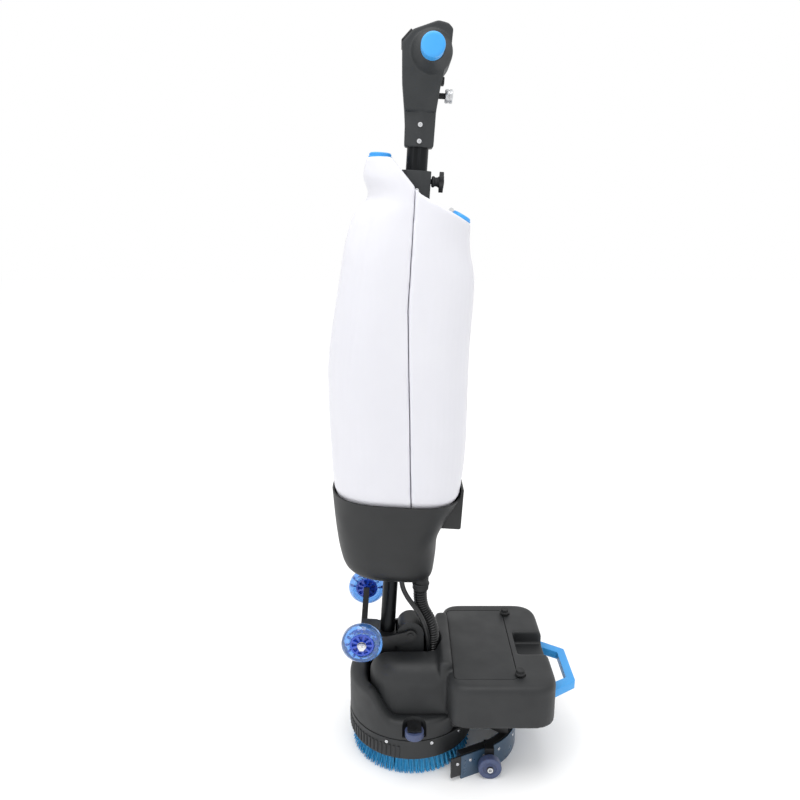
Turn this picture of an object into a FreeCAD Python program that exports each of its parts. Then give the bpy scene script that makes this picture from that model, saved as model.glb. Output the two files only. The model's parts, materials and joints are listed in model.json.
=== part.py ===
import FreeCAD, Part
import math
import os
import re

import Sketcher

# Compact disc floor scrubber: a round brush head with a battery box and a curved squeegee behind it,
# and a tilting column that carries the clean and recovery tanks and a height-adjustable handle.
# +X is rearwards (towards the operator), +Z is up and the floor is z = 0.  Millimetres and degrees.

SIZES = {
    # general fits
    "wall": 3.0,            # moulded wall
    "running": 0.05,        # radial clearance of a pin or shaft
    "gap": 0.4,             # clearance between two bodies that pass each other
    # frame of the machine
    "brush_x": -77.5,       # brush axis, forward of the middle of the machine
    "pivot_x": -2.0,        # column hinge, from the brush axis
    "hinge_rise": 27.0,     # hinge above the dome
    "lean": 3.46,           # rearward lean of the column at rest
    "pole_offset": 42.0,    # pole axis in front of the hinge
    "foot_drop": 17.5,      # origin of the column frame below the hinge
    # brush
    "bristle_length": 44.0,
    "disc_radius": 97.0,
    "disc_thick": 12.0,
    "tuft_radius": 2.6,
    "tuft_splay": 7.0,
    "shaft_radius": 6.0,
    # brush deck, skirt and fender
    "deck_z": 72.0,
    "deck_thick": 6.0,
    "deck_radius": 108.0,
    "skirt_radius": 114.0,
    "skirt_bottom": 35.0,
    "skirt_wall": 3.5,
    "skirt_flange": 102.0,
    "fender_inner": 89.5,
    "fender_top": 106.0,
    "nose_radius": 111.0,
    "nose_inner": 82.0,
    "nose_top": 153.0,
    "nose_angle": 104.0,
    "fender_end": 72.0,
    "arm_bay": 80.0,
    # dome
    "dome_front": 76.0,
    "dome_rear": 62.0,
    "dome_half": 87.0,
    "dome_top": 198.0,
    "dome_shoulder": 36.0,
    "dome_corner": 62.0,
    "well_front": 70.0,
    "well_rear": 55.0,
    "well_half": 32.0,
    "ridge_half": 74.0,
    "ridge_top": 209.0,
    "ridge_front": 51.0,
    # brush motor and hinge post
    "gearbox_radius": 40.0,
    "gearbox_top": 112.0,
    "motor_radius": 19.0,
    "post_radius": 24.0,
    "post_half": 22.0,
    "hinge_pin_radius": 6.0,
    "valve_side": 26.0,
    "valve_y": 58.0,
    # battery box
    "box_rear": 248.0,
    "box_half": 140.0,
    "box_bottom": 117.0,
    "box_top": 195.0,
    "box_corner": 44.0,
    "box_front_corner": 16.0,
    "box_edge": 12.0,
    "box_roof": 7.0,
    "bay_rear": 186.0,
    "lid_front": 72.0,
    "lid_rear": 181.0,
    "lid_half": 112.0,
    "lid_thick": 3.0,
    "lid_corner": 11.0,
    "lid_rebate": 6.0,
    "lid_pin_radius": 1.2,
    "lid_pin_length": 4.0,
    "knob_x": 186.0,
    "knob_y": 100.0,
    "knob_base_radius": 9.0,
    "knob_top_radius": 7.5,
    "knob_height": 11.0,
    "knob_base_height": 5.0,
    "knob_stem_radius": 3.0,
    "knob_stem_hole": 4.6,
    "recess_front": 192.0,
    "recess_half": 36.0,
    "recess_floor": 170.0,
    "battery_length": 100.0,
    "battery_width": 180.0,
    "battery_height": 58.0,
    # rear carrying handle
    "loop_z": 141.0,
    "loop_thick": 14.0,
    "loop_root_half": 83.0,
    "loop_bar_half": 50.0,
    "loop_out": 295.5,
    "loop_band": 15.0,
    # squeegee
    "squeegee_centre": 90.3,
    "squeegee_radius": 104.7,
    "squeegee_slope": 25.0,
    "squeegee_end_x": 85.0,
    "squeegee_body": 12.0,
    "squeegee_body_bottom": 20.0,
    "squeegee_body_top": 48.0,
    "blade_thick": 3.0,
    "blade_top": 46.0,
    "arm_y": 55.0,
    "arm_thick": 8.0,
    "lift_x": 74.0,
    "lift_z": 102.0,
    "lift_pin_radius": 4.0,
    "arm_height": 13.0,
    "caster_x": 137.0,
    "caster_y": 107.5,
    "caster_radius": 20.5,
    "caster_width": 14.0,
    "caster_axle_radius": 3.0,
    # guide rollers
    "roller_x": 4.0,
    "roller_y": 115.0,
    "roller_z": 90.0,
    "roller_radius": 16.5,
    "roller_width": 12.0,
    "roller_pin_radius": 3.0,
    "roller_plate": 3.0,
    # column foot and transport wheels
    "pole_radius": 13.5,
    "pole_wall": 2.0,
    "foot_bottom": -12.0,
    "foot_half": 28.0,
    "foot_front": 19.0,
    "foot_height": 26.0,
    "fork_boss": 11.0,
    "wheel_x": -43.7,
    "wheel_z": 43.4,
    "wheel_y": 86.0,
    "wheel_radius": 35.0,
    "wheel_width": 24.0,
    "wheel_hub_radius": 19.0,
    "wheel_axle_radius": 4.0,
    "wheel_arm_thick": 11.0,
    # tank base with the suction motor
    "base_bottom": 120.0,
    "base_floor": 252.0,
    "base_rim": 292.0,
    "suction_x": -44.0,
    "suction_radius": 28.5,
    "suction_bottom": 148.0,
    "suction_top": 214.0,
    "impeller_radius": 26.0,
    "impeller_thick": 12.0,
    "charger_rear": 115.0,
    "charger_half": 24.0,
    "charger_bottom": 233.0,
    "charger_top": 307.0,
    "board_x": 30.0,
    "board_half": 34.0,
    "board_top": 226.0,
    "cuff_x": 55.0,
    "cuff_radius": 15.0,
    "cuff_length": 22.0,
    "port_x": 39.0,
    "port_radius": 14.0,
    "port_height": 16.0,
    "hose_radius": 12.5,
    "hose_bore": 10.5,
    "cord_radius": 4.5,
    # tanks
    "tank_wall": 3.0,
    "seam_foot_x": 27.0,
    "seam_bend_x": -1.0,
    "seam_bend_z": 612.0,
    "seam_gap": 0.8,
    "channel_room": 3.7,
    "relief_x": 52.0,
    "relief_z": 690.0,
    "crown_slope_x": -40.0,
    "crown_top": 838.0,
    "slope_end_x": 58.0,
    "slope_end_z": 763.0,
    "mouth_radius": 14.0,
    "mouth_x": -58.0,
    "clean_cap_radius": 18.5,
    "clean_cap_height": 10.0,
    "outlet_x": 75.0,
    "outlet_tilt": 26.0,
    "recovery_cap_radius": 17.0,
    "recovery_cap_height": 6.0,
    "cap_plug": 8.0,
    "float_radius": 8.0,
    "float_z": 694.0,
    "float_travel": 12.0,
    # telescopic pole and clamp
    "sleeve_wall": 2.5,
    "tube_radius": 17.35,
    "tube_wall": 2.0,
    "tube_foot": 420.0,
    "collar_wall": 3.25,
    "collar_foot": 762.0,
    "sleeve_top": 775.0,
    "collar_top": 823.0,
    "star_z": 808.0,
    "star_hub_radius": 9.0,
    "star_wing_radius": 16.0,
    "star_stem_radius": 4.0,
    # handle head
    "handle_foot": 857.0,
    "handle_step": 908.0,
    "neck_wall": 5.15,
    "handle_half": 65.0,
    "handle_flare_z": 966.0,
    "grip_x": 11.0,
    "grip_z": 990.0,
    "grip_cap_radius": 17.5,
    "grip_cap_length": 27.0,
    "dial_z": 935.0,
    "dial_radius": 10.5,
    "dial_x": 36.6,
    "dial_thick": 12.0,
    "dial_stem_radius": 4.5,
    "panel_half": 38.0,
    "panel_thick": 3.0,
    "button_radius": 5.0,
    "button_pitch": 20.0,
    "button_lift": 1.5,
    "button_height": 3.2,
    "trigger_half": 9.0,
    # screws
    "screw_radius": 3.6,
    "screw_head": 2.2,
}

# Outer sections of the tank base, from the bottom up: height, front, rear and half-width.
BASE_SECTIONS = {
    "base_toe": (120.0, 42.0, 70.0, 44.0),
    "base_heel": (128.0, 64.0, 71.0, 56.0),
    "base_low": (145.0, 80.0, 72.0, 66.0),
    "base_mid": (215.0, 97.0, 74.0, 78.0),
    "base_lip": (292.0, 108.0, 109.0, 91.0),
}
# Outer sections of the pair of tanks.
TANK_SECTIONS = {
    "tank_foot": (258.6, 99.4, 90.2, 81.6),
    "tank_rest": (291.6, 104.0, 105.2, 87.0),
    "tank_rim": (296.0, 108.0, 109.4, 91.0),
    "tank_low": (372.0, 116.0, 112.8, 95.0),
    "tank_belly": (494.0, 125.6, 107.5, 97.0),
    "tank_waist": (546.0, 124.0, 105.5, 97.0),
    "tank_chest": (661.0, 112.0, 103.9, 94.0),
    "tank_shoulder": (710.0, 106.0, 93.0, 91.0),
    "tank_neck": (757.0, 92.0, 90.8, 86.0),
    "tank_notch": (775.0, 75.0, 90.0, 84.0),
    "tank_grip": (790.0, 75.0, 90.0, 82.0),
    "tank_lip": (808.0, 84.0, 88.0, 79.0),
    "tank_crown": (838.0, 79.0, 84.0, 72.0),
}
SECTION_VALUES = ("z", "front", "rear", "half")
# Side outline of the handle head, from the lower front corner round over the top.
HANDLE_OUTLINE = {
    "heel": (-21.7, 857.0),
    "chin": (-24.9, 908.0),
    "breast": (-30.6, 954.0),
    "brow": (-33.5, 1001.0),
    "temple": (-18.0, 1019.0),
    "crest": (17.7, 1033.0),
    "back": (33.0, 1030.0),
    "heel_rear": (40.3, 1023.0),
    "spur": (39.6, 1001.0),
    "thumb": (35.2, 975.0),
    "ledge": (31.7, 966.7),
    "palm": (27.9, 946.0),
    "waist": (23.3, 908.0),
    "cuff": (23.7, 857.0),
}

# Sizes that follow from the ones above.
TIED_SIZES = {
    "pivot_z": "(dome_top + hinge_rise)",
    "motor_top": "(dome_top - 2)",
    "tube_bore": "(tube_radius + 3 * running)",
    "sleeve_radius": "(tube_bore + sleeve_wall)",
    "collar_radius": "(sleeve_radius + running + collar_wall)",
    "channel_half": "(collar_radius + channel_room)",
    "handle_neck_half": "(tube_radius + neck_wall)",
}

doc = FreeCAD.newDocument("floor_scrubber")
sheet = doc.addObject("Spreadsheet::Sheet", "Sizes")
parts = []


def write_sheet():
    """Put every driving size into the sheet, one aliased cell each."""
    cells = dict(SIZES)
    for sections in (BASE_SECTIONS, TANK_SECTIONS):
        for section, values in sections.items():
            for name, value in zip(SECTION_VALUES, values):
                cells[f"{section}_{name}"] = value
    for corner, (x, z) in HANDLE_OUTLINE.items():
        cells[f"{corner}_corner_x"] = x
        cells[f"{corner}_corner_z"] = z
    for row, (name, value) in enumerate(cells.items(), 1):
        sheet.set(f"A{row}", name)
        sheet.set(f"B{row}", str(value))
        sheet.setAlias(f"B{row}", name)
    doc.recompute()
    return cells


ALIASES = write_sheet()


# ---------------------------------------------------------------- expressions and placements
def linked(size):
    """A size as an expression on the sheet: plain words in it are the sheet's aliases."""
    text = str(size)
    while any(re.search(rf"\b{name}\b", text) for name in TIED_SIZES):
        for name, meaning in TIED_SIZES.items():
            text = re.sub(rf"\b{name}\b", meaning, text)
    return re.sub(r"[a-z]\w*", lambda m: f"Sizes.{m[0]}" if m[0] in ALIASES else m[0], text)


def value(size):
    """The number that a size has now."""
    return float(sheet.evalExpression(linked(size)))


TURNS = {"x": ("0;1;0", 90), "y": ("1;0;0", -90), "z": ("0;0;1", 0)}


def spot(at, axis="0;0;1", angle=0):
    """A placement expression: a point, then a turn about an axis."""
    point = ";".join(linked(size) for size in at)
    return f"placement(vector({point});rotation(vector({axis});{linked(angle)}))"


HEAD = spot(("brush_x", 0, 0))
COLUMN = (
    spot(("brush_x + pivot_x", 0, "pivot_z"), "0;1;0", "lean")
    + " * " + spot(("-pole_offset", 0, "-foot_drop"))
)


def put(item, frame, at=(0, 0, 0), axis="0;0;1", angle=0):
    """Place an object in the frame of the head or of the column."""
    item.setExpression("Placement", f"{frame} * {spot(at, axis, angle)}")
    return item


def keep(item, label):
    """Name a finished sub-part; its label is its file's name."""
    item.Label = label
    parts.append(item)
    return item


# ---------------------------------------------------------------- solids
def box(frame, low, high):
    """A box between two corners."""
    item = doc.addObject("Part::Box", "block")
    for side, start, end in zip(("Length", "Width", "Height"), low, high):
        item.setExpression(side, f"({linked(end)}) - ({linked(start)})")
    return put(item, frame, low)


def rod(frame, at, radius, length, along="z"):
    """A cylinder from a point, along X, Y or Z of its frame."""
    item = doc.addObject("Part::Cylinder", "rod")
    item.setExpression("Radius", linked(radius))
    item.setExpression("Height", linked(length))
    return put(item, frame, at, *TURNS[along])


def cut(base, *tools):
    """A solid less one or more others."""
    item = doc.addObject("Part::Cut", "cut")
    item.Base = base
    item.Tool = tools[0] if len(tools) == 1 else join(*tools)
    return item


def join(*solids):
    """Solids fused into one."""
    item = doc.addObject("Part::MultiFuse", "join")
    item.Shapes = list(solids)
    return item


def shared(one, other):
    """What two solids have in common."""
    item = doc.addObject("Part::Common", "shared")
    item.Base = one
    item.Tool = other
    return item


def together(*solids):
    """Separate solids in one node, such as a set of equal screws."""
    item = doc.addObject("Part::Compound", "set")
    item.Links = list(solids)
    return item


def sketch_on(body, plane):
    """A sketch on one of a body's own planes: XY, XZ or YZ."""
    sketch = body.newObject("Sketcher::SketchObject", "outline")
    origin_plane = next(o for o in body.Origin.OriginFeatures if o.Role == f"{plane}_Plane")
    sketch.AttachmentSupport = [(origin_plane, "")]
    sketch.MapMode = "FlatFace"
    return sketch


def polygon(sketch, points):
    """A closed outline whose corners are bound to the sheet."""
    corners = [FreeCAD.Vector(value(x), value(y), 0) for x, y in points]
    count = len(corners)
    for index in range(count):
        sketch.addGeometry(Part.LineSegment(corners[index], corners[(index + 1) % count]), False)
    for index in range(count):
        sketch.addConstraint(Sketcher.Constraint("Coincident", index, 2, (index + 1) % count, 1))
        for letter, size in zip("XY", points[index]):
            name = "Distance" + letter
            number = sketch.addConstraint(Sketcher.Constraint(name, -1, 1, index, 1, value(size)))
            sketch.setExpression(f"Constraints[{number}]", linked(size))


def slab(frame, plane, points, low, high):
    """An outline on XY, XZ or YZ, padded from low to high along the plane's own axis."""
    body = doc.addObject("PartDesign::Body", "slab")
    sketch = sketch_on(body, plane)
    polygon(sketch, points)
    pad = body.newObject("PartDesign::Pad", "pad")
    pad.Profile = sketch
    pad.setExpression("Length", f"({linked(high)}) - ({linked(low)})")
    pad.Reversed = plane == "XZ"
    lift = {"XY": (0, 0, low), "XZ": (0, low, 0), "YZ": (low, 0, 0)}[plane]
    put(body, frame, lift)
    return body


def lathe(frame, points, at=(0, 0, 0), along="z", angle=360, turn=0):
    """An outline of radius and height, turned about its own axis."""
    body = doc.addObject("PartDesign::Body", "lathe")
    sketch = sketch_on(body, "XZ")
    polygon(sketch, points)
    turned = body.newObject("PartDesign::Revolution", "turned")
    turned.Profile = sketch
    turned.ReferenceAxis = (sketch, ["V_Axis"])
    turned.setExpression("Angle", linked(angle))
    if along == "z":
        return put(body, frame, at, "0;0;1", turn)
    return put(body, frame, at, *TURNS[along])


def soften(body, radius, chosen):
    """Round the edges of a body's last feature for which chosen(edge) is true."""
    doc.recompute()
    tip = body.Tip
    names = [f"Edge{n}" for n, edge in enumerate(tip.Shape.Edges, 1) if chosen(edge)]
    fillet = body.newObject("PartDesign::Fillet", "round")
    fillet.Base = (tip, names)
    fillet.setExpression("Radius", linked(radius))
    doc.recompute()
    return body


def upright(edge):
    """True for an edge along Z."""
    box_of_edge = edge.BoundBox
    return box_of_edge.ZLength > 1 and max(box_of_edge.XLength, box_of_edge.YLength) < 0.01


def at_height(height):
    """A test for edges that lie level at a height."""
    return lambda edge: edge.BoundBox.ZLength < 0.01 and abs(edge.BoundBox.ZMin - height) < 0.01


def fixed(shape, frame_place, name):
    """A solid that Part's own functions made, set in a frame."""
    item = doc.addObject("Part::Feature", name)
    item.Shape = shape
    item.Placement = frame_place
    return item


def frame_placement(frame):
    """The placement that a frame expression has now."""
    probe = doc.addObject("Part::Box", "probe")
    probe.setExpression("Placement", frame)
    doc.recompute()
    place = probe.Placement
    doc.removeObject(probe.Name)
    return place


def rounded_section(height, front, rear, half, radius):
    """A level rounded rectangle as a closed wire, always of eight edges."""
    x_low = -front + radius
    x_high = rear - radius
    y_high = half - radius
    bend = radius * math.sqrt(0.5)

    def point(x, y):
        return FreeCAD.Vector(x, y, height)

    edges = [
        Part.LineSegment(point(x_low, -half), point(x_high, -half)),
        Part.Arc(point(x_high, -half), point(x_high + bend, -y_high - bend), point(rear, -y_high)),
        Part.LineSegment(point(rear, -y_high), point(rear, y_high)),
        Part.Arc(point(rear, y_high), point(x_high + bend, y_high + bend), point(x_high, half)),
        Part.LineSegment(point(x_high, half), point(x_low, half)),
        Part.Arc(point(x_low, half), point(x_low - bend, y_high + bend), point(-front, y_high)),
        Part.LineSegment(point(-front, y_high), point(-front, -y_high)),
        Part.Arc(point(-front, -y_high), point(x_low - bend, -y_high - bend), point(x_low, -half)),
    ]
    return Part.Wire([edge.toShape() for edge in edges])


def tower(sections, inset, corner_share, floor=None, roof=None):
    """A ruled solid through rounded sections, drawn in by an inset and cut to a floor and a roof."""
    wires = []
    for section in sections:
        height, front, rear, half = (value(f"{section}_{name}") for name in SECTION_VALUES)
        radius = corner_share * half - inset
        wires.append(rounded_section(height, front - inset, rear - inset, half - inset, radius))
    solid = Part.makeLoft(wires, True, True)
    if floor is not None:
        slice_size = 600
        corner = FreeCAD.Vector(-slice_size / 2, -slice_size / 2, value(floor))
        solid = solid.common(Part.makeBox(slice_size, slice_size, value(roof) - value(floor), corner))
    return solid


# ---------------------------------------------------------------- head: brush and drive
def tuft(radius, turn):
    """One bristle tuft, splayed outwards towards the floor and cut level at both ends."""
    length = value("bristle_length")
    out = FreeCAD.Vector(math.cos(turn), math.sin(turn), 0)
    top = out * radius + FreeCAD.Vector(0, 0, length)
    foot = out * (radius + value("tuft_splay"))
    axis = top - foot
    whole = Part.makeCylinder(value("tuft_radius"), axis.Length * 1.2, foot - axis * 0.1, axis)
    reach = 2 * value("skirt_radius")
    layer = Part.makeBox(reach, reach, length, FreeCAD.Vector(-reach / 2, -reach / 2, 0))
    return whole.common(layer).Solids[0]


def brush():
    """Brush plate, its tufts and the drive hub, which turn together."""
    plate_top = "bristle_length + disc_thick"
    keep(rod(HEAD, (0, 0, "bristle_length"), "disc_radius", "disc_thick"), "brush_plate")
    hub = rod(HEAD, (0, 0, plate_top), "3 * shaft_radius", "deck_z - bristle_length - disc_thick - 4")
    shaft = rod(HEAD, (0, 0, plate_top), "shaft_radius",
                "deck_z + deck_thick + 8 - bristle_length - disc_thick")
    keep(join(hub, shaft), "brush_drive_hub")
    outer_ring = value("disc_radius") - value("tuft_radius") - 1
    rings = [(outer_ring, 40), (outer_ring - 14, 34), (outer_ring - 28, 28), (outer_ring - 42, 22)]
    trim = []
    carrying = []
    for number, (radius, count) in enumerate(rings):
        for step in range(count):
            one = tuft(radius, 2 * math.pi * step / count)
            carries = number == 0 and step % 5 == 0
            (carrying if carries else trim).append(one)
    place = frame_placement(HEAD)
    keep(fixed(Part.makeCompound(trim), place, "trim_tufts"), "brush_bristles")
    keep(fixed(Part.makeCompound(carrying), place, "carrying_tufts"), "brush_bristles_carrying")


def drive():
    """Deck, skirt, gearmotor, hinge post, valve and spray nozzle."""
    deck_top = "deck_z + deck_thick"
    deck = cut(
        rod(HEAD, (0, 0, "deck_z"), "deck_radius", "deck_thick"),
        rod(HEAD, (0, 0, "deck_z - 1"), "shaft_radius + 2", "deck_thick + 2"),
        rod(HEAD, (0, "valve_y", "deck_z - 1"), "shaft_radius", "deck_thick + 2"),
    )
    keep(deck, "brush_deck")
    keep(lathe(HEAD, [
        ("skirt_radius - skirt_wall", "skirt_bottom"), ("skirt_radius", "skirt_bottom"),
        ("skirt_radius", "deck_z"), ("skirt_flange", "deck_z"),
        ("skirt_flange", "deck_z - skirt_wall"),
        ("skirt_radius - skirt_wall", "deck_z - skirt_wall"),
    ]), "skirt_ring")
    gearbox = rod(HEAD, (0, 0, deck_top), "gearbox_radius", "gearbox_top - deck_z - deck_thick")
    motor = rod(HEAD, (0, 0, "gearbox_top"), "motor_radius", "motor_top - gearbox_top")
    bore = rod(HEAD, (0, 0, deck_top), "shaft_radius + running", 9)
    keep(cut(join(gearbox, motor), bore), "brush_gearmotor")
    pivot = ("pivot_x", "-post_half", "pivot_z")
    pier = box(HEAD, ("pivot_x - post_radius", "-post_half", "gearbox_top"),
               ("pivot_x + post_radius", "post_half", "pivot_z"))
    arch = rod(HEAD, pivot, "post_radius", "2 * post_half", "y")
    motor_room = rod(HEAD, (0, 0, "gearbox_top - 1"), "motor_radius + gap", "motor_top - gearbox_top + 2")
    pin_bore = rod(HEAD, ("pivot_x", "-post_half - 1", "pivot_z"), "hinge_pin_radius + running",
                   "2 * post_half + 2", "y")
    keep(cut(join(pier, arch), motor_room, pin_bore), "hinge_post")
    valve = box(HEAD, ("-valve_side / 2", "valve_y - valve_side / 2", deck_top),
                ("valve_side / 2", "valve_y + valve_side / 2", "deck_z + deck_thick + valve_side"))
    nozzle_tip = "(bristle_length + disc_thick + deck_z) / 2"
    nozzle = rod(HEAD, (0, "valve_y", nozzle_tip), "shaft_radius - 1", f"{deck_top} + 1 - {nozzle_tip}")
    keep(join(valve, nozzle), "solenoid_valve")


def dome_block(inset, low, high):
    """The dome's rounded block, drawn in by an inset on every side but the rear and the floor."""
    half = f"dome_half - ({inset})"
    front = f"-dome_front + ({inset})"
    rear = f"dome_rear - ({inset})"
    block = slab(HEAD, "XY", [(front, f"-({half})"), (rear, f"-({half})"), (rear, half), (front, half)],
                 low, high)
    middle = (value(front) + value(rear)) / 2
    soften(block, f"dome_corner - ({inset})", lambda edge: upright(edge) and edge.BoundBox.XMax < middle)
    level = value(high) - value(low)
    rear_x = value(rear)
    soften(block, f"dome_shoulder - ({inset})",
           lambda edge: at_height(level)(edge) and edge.BoundBox.XMin < rear_x - 1)
    return block


def well(grow, low, high):
    """The round-ended well round the hinge, motor and hoses."""
    half = f"well_half + {grow}"
    end = "well_rear - well_half"
    straight = box(HEAD, (f"-well_front - {grow}", f"-({half})", low), (end, half, high))
    round_end = rod(HEAD, (end, 0, low), half, f"({high}) - ({low})")
    return join(straight, round_end)


def dome():
    """Moulded cover of the brush head with the well for the hinge and a ridge before the box."""
    deck_top = "deck_z + deck_thick"
    outer = dome_block("0", deck_top, "dome_top")
    inner = dome_block("wall", "deck_z + deck_thick - 1", "dome_top - wall")
    liner = shared(well("wall", "gearbox_top", "dome_top"), dome_block("0", deck_top, "dome_top"))
    ridge = slab(HEAD, "XZ", [
        ("ridge_front", "dome_top - wall"), ("dome_rear", "dome_top - wall"), ("dome_rear", "ridge_top"),
        ("dome_rear - 5", "ridge_top"), ("ridge_front", "dome_top + 2"),
    ], "-ridge_half", "ridge_half")
    shell = join(cut(outer, inner), liner, ridge)
    keep(cut(shell, well("0", "gearbox_top - 1", "ridge_top + 1")), "head_dome")


def fender():
    """Bumper ring round the dome with a taller nose at the front and a notch for each roller."""
    ring = lathe(HEAD, [
        ("deck_radius + gap", "deck_z"), ("skirt_radius", "deck_z"), ("skirt_radius", "fender_top - 9"),
        ("skirt_radius - 3", "fender_top - 3"), ("skirt_radius - 9", "fender_top"),
        ("fender_inner", "fender_top"), ("fender_inner - 6", "fender_top - 4"),
        ("fender_inner - 6", "deck_z + deck_thick"), ("deck_radius + gap", "deck_z + deck_thick"),
    ])
    nose = lathe(HEAD, [
        ("nose_inner - 12", "fender_top - 10"), ("nose_radius", "fender_top - 10"),
        ("nose_radius", "nose_top - 16"), ("nose_radius - 5", "nose_top - 5"),
        ("nose_radius - 16", "nose_top"), ("nose_inner - 12", "nose_top"),
    ], angle="nose_angle", turn="180 - nose_angle / 2")
    low = "deck_z - 1"
    high = "nose_top + 1"
    room = dome_block("-gap", low, "nose_top + 60")
    nose_room = dome_block("-5", "deck_z + deck_thick", "nose_top + 60")
    solid = join(cut(ring, room), cut(nose, nose_room))
    tail = box(HEAD, ("fender_end", "-2 * skirt_radius", low), ("2 * skirt_radius", "2 * skirt_radius", high))
    bay = box(HEAD, ("ridge_front", "-arm_bay", low), ("2 * skirt_radius", "arm_bay", high))
    notches = []
    for side in (-1, 1):
        near = f"{side} * (roller_y - 22)"
        far = f"{side} * (roller_y + 10)"
        low_y, high_y = (near, far) if side > 0 else (far, near)
        notches.append(box(HEAD, ("roller_x - roller_radius - 4", low_y, "deck_z + deck_thick + 1"),
                           ("roller_x + roller_radius + 4", high_y, high)))
    keep(cut(solid, tail, bay, *notches), "fender_ring")


def guide_rollers():
    """Side rollers on upright pins, each in a bracket in the fender's notch."""
    brackets = []
    for side, name in ((-1, "near"), (1, "far")):
        wall_y = f"{side} * (roller_y - 22)"
        web_y = f"{side} * (roller_y - 22 + roller_plate)"
        tip_y = f"{side} * (roller_y + 8)"
        pieces = []
        half = "roller_radius / 2 + 4"
        half_gap = "(roller_width / 2 + 1)"
        for low_z, high_z, start, end in (
            (f"roller_z - {half_gap} - roller_plate", f"roller_z + {half_gap} + roller_plate", wall_y, web_y),
            (f"roller_z - {half_gap} - roller_plate", f"roller_z - {half_gap}", wall_y, tip_y),
            (f"roller_z + {half_gap}", f"roller_z + {half_gap} + roller_plate", wall_y, tip_y),
        ):
            low_y, high_y = (start, end) if side > 0 else (end, start)
            pieces.append(box(HEAD, (f"roller_x - ({half})", low_y, low_z),
                              (f"roller_x + {half}", high_y, high_z)))
        centre = ("roller_x", f"{side} * roller_y", f"roller_z - {half_gap} - roller_plate")
        pieces.append(rod(HEAD, centre, "roller_pin_radius", f"2 * ({half_gap} + roller_plate) + 2"))
        brackets.append(join(*pieces))
        foot = ("roller_x", f"{side} * roller_y", "roller_z - roller_width / 2")
        tyre = rod(HEAD, foot, "roller_radius", "roller_width")
        bore = rod(HEAD, foot, "roller_pin_radius + running", "roller_width")
        keep(cut(tyre, bore), f"guide_roller_{name}")
    keep(together(*brackets), "roller_brackets")


# ---------------------------------------------------------------- head: battery box
def battery_box():
    """Tub with a battery bay under the lid, a recess at the rear and an open underside behind."""
    half = "box_half"
    tub = slab(HEAD, "XY", [
        ("dome_rear", "-box_half"), ("box_rear", "-box_half"), ("box_rear", half), ("dome_rear", half),
    ], "box_bottom", "box_top")
    middle = (value("dome_rear") + value("box_rear")) / 2
    soften(tub, "box_corner", lambda edge: upright(edge) and edge.BoundBox.XMin > middle)
    soften(tub, "box_front_corner", lambda edge: upright(edge) and edge.BoundBox.XMin < middle)
    level = value("box_top") - value("box_bottom")
    front = value("dome_rear")
    soften(tub, "box_edge",
           lambda edge: at_height(level)(edge) and edge.BoundBox.XMax > front + 1)
    bay = box(HEAD, ("dome_rear + wall", "-box_half + 2 * wall", "box_bottom + wall"),
              ("bay_rear", "box_half - 2 * wall", "box_top - box_roof"))
    mouth = box(HEAD, ("lid_front + lid_rebate", "-lid_half + lid_rebate", "box_top - box_roof - 1"),
                ("lid_rear - lid_rebate", "lid_half - lid_rebate", "box_top + 1"))
    seat = box(HEAD, ("lid_front - gap", "-lid_half - gap", "box_top - lid_thick - gap"),
               ("lid_rear + gap", "lid_half + gap", "box_top + 1"))
    pin_length = "2 * (lid_half + lid_pin_length + gap)"
    pin_holes = rod(HEAD, ("lid_front + lid_thick / 2", "-lid_half - lid_pin_length - gap",
                           "box_top - lid_thick / 2"), "lid_pin_radius + running", pin_length, "y")
    recess = box(HEAD, ("recess_front", "-recess_half", "recess_floor"),
                 ("box_rear + 1", "recess_half", "box_top + 1"))
    under = box(HEAD, ("bay_rear + wall", "-box_half + box_corner", "box_bottom - 1"),
                ("box_rear - wall", "box_half - box_corner", "recess_floor - 2 * wall"))
    ears = []
    for side in (-1, 1):
        at = ("knob_x", f"{side} * knob_y", "box_top - lid_thick - gap")
        ears.append(rod(HEAD, at, "knob_base_radius + gap", "lid_thick + 1"))
        low = ("knob_x", f"{side} * knob_y", "box_top - box_roof - 3")
        ears.append(rod(HEAD, low, "knob_stem_hole", "box_roof + 3"))
    keep(cut(tub, bay, mouth, seat, pin_holes, recess, under, *ears), "battery_box")
    front_x = "(dome_rear + bay_rear) / 2 - battery_length / 2"
    keep(box(HEAD, (front_x, "-battery_width / 2", "box_bottom + wall"),
             (f"{front_x} + battery_length", "battery_width / 2", "box_bottom + wall + battery_height")),
         "battery_pack")


def battery_lid():
    """Lid with a rounded hinge edge, hinge pins and an ear for each knob, and the knobs."""
    low = "box_top - lid_thick"
    hinge_x = "lid_front + lid_thick / 2"
    plate = box(HEAD, (hinge_x, "-lid_half", low), ("lid_rear", "lid_half", "box_top"))
    edge = rod(HEAD, (hinge_x, "-lid_half", "box_top - lid_thick / 2"), "lid_thick / 2", "2 * lid_half", "y")
    pins = rod(HEAD, (hinge_x, "-lid_half - lid_pin_length", "box_top - lid_thick / 2"), "lid_pin_radius",
               "2 * (lid_half + lid_pin_length)", "y")
    ears = []
    holes = []
    for side in (-1, 1):
        at = ("knob_x", f"{side} * knob_y", low)
        ears.append(rod(HEAD, at, "knob_base_radius", "lid_thick"))
        holes.append(rod(HEAD, at, "knob_stem_radius + running", "lid_thick"))
    keep(cut(join(plate, edge, pins, *ears), *holes), "battery_lid")
    for side, name in ((-1, "near"), (1, "far")):
        y = f"{side} * knob_y"
        stem = rod(HEAD, ("knob_x", y, "box_top - lid_thick - 4"), "knob_stem_radius", "lid_thick + 5")
        base = rod(HEAD, ("knob_x", y, "box_top"), "knob_base_radius", "knob_base_height")
        top = rod(HEAD, ("knob_x", y, "box_top"), "knob_top_radius", "knob_height")
        keep(join(stem, base, top), f"lid_knob_{name}")


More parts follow.
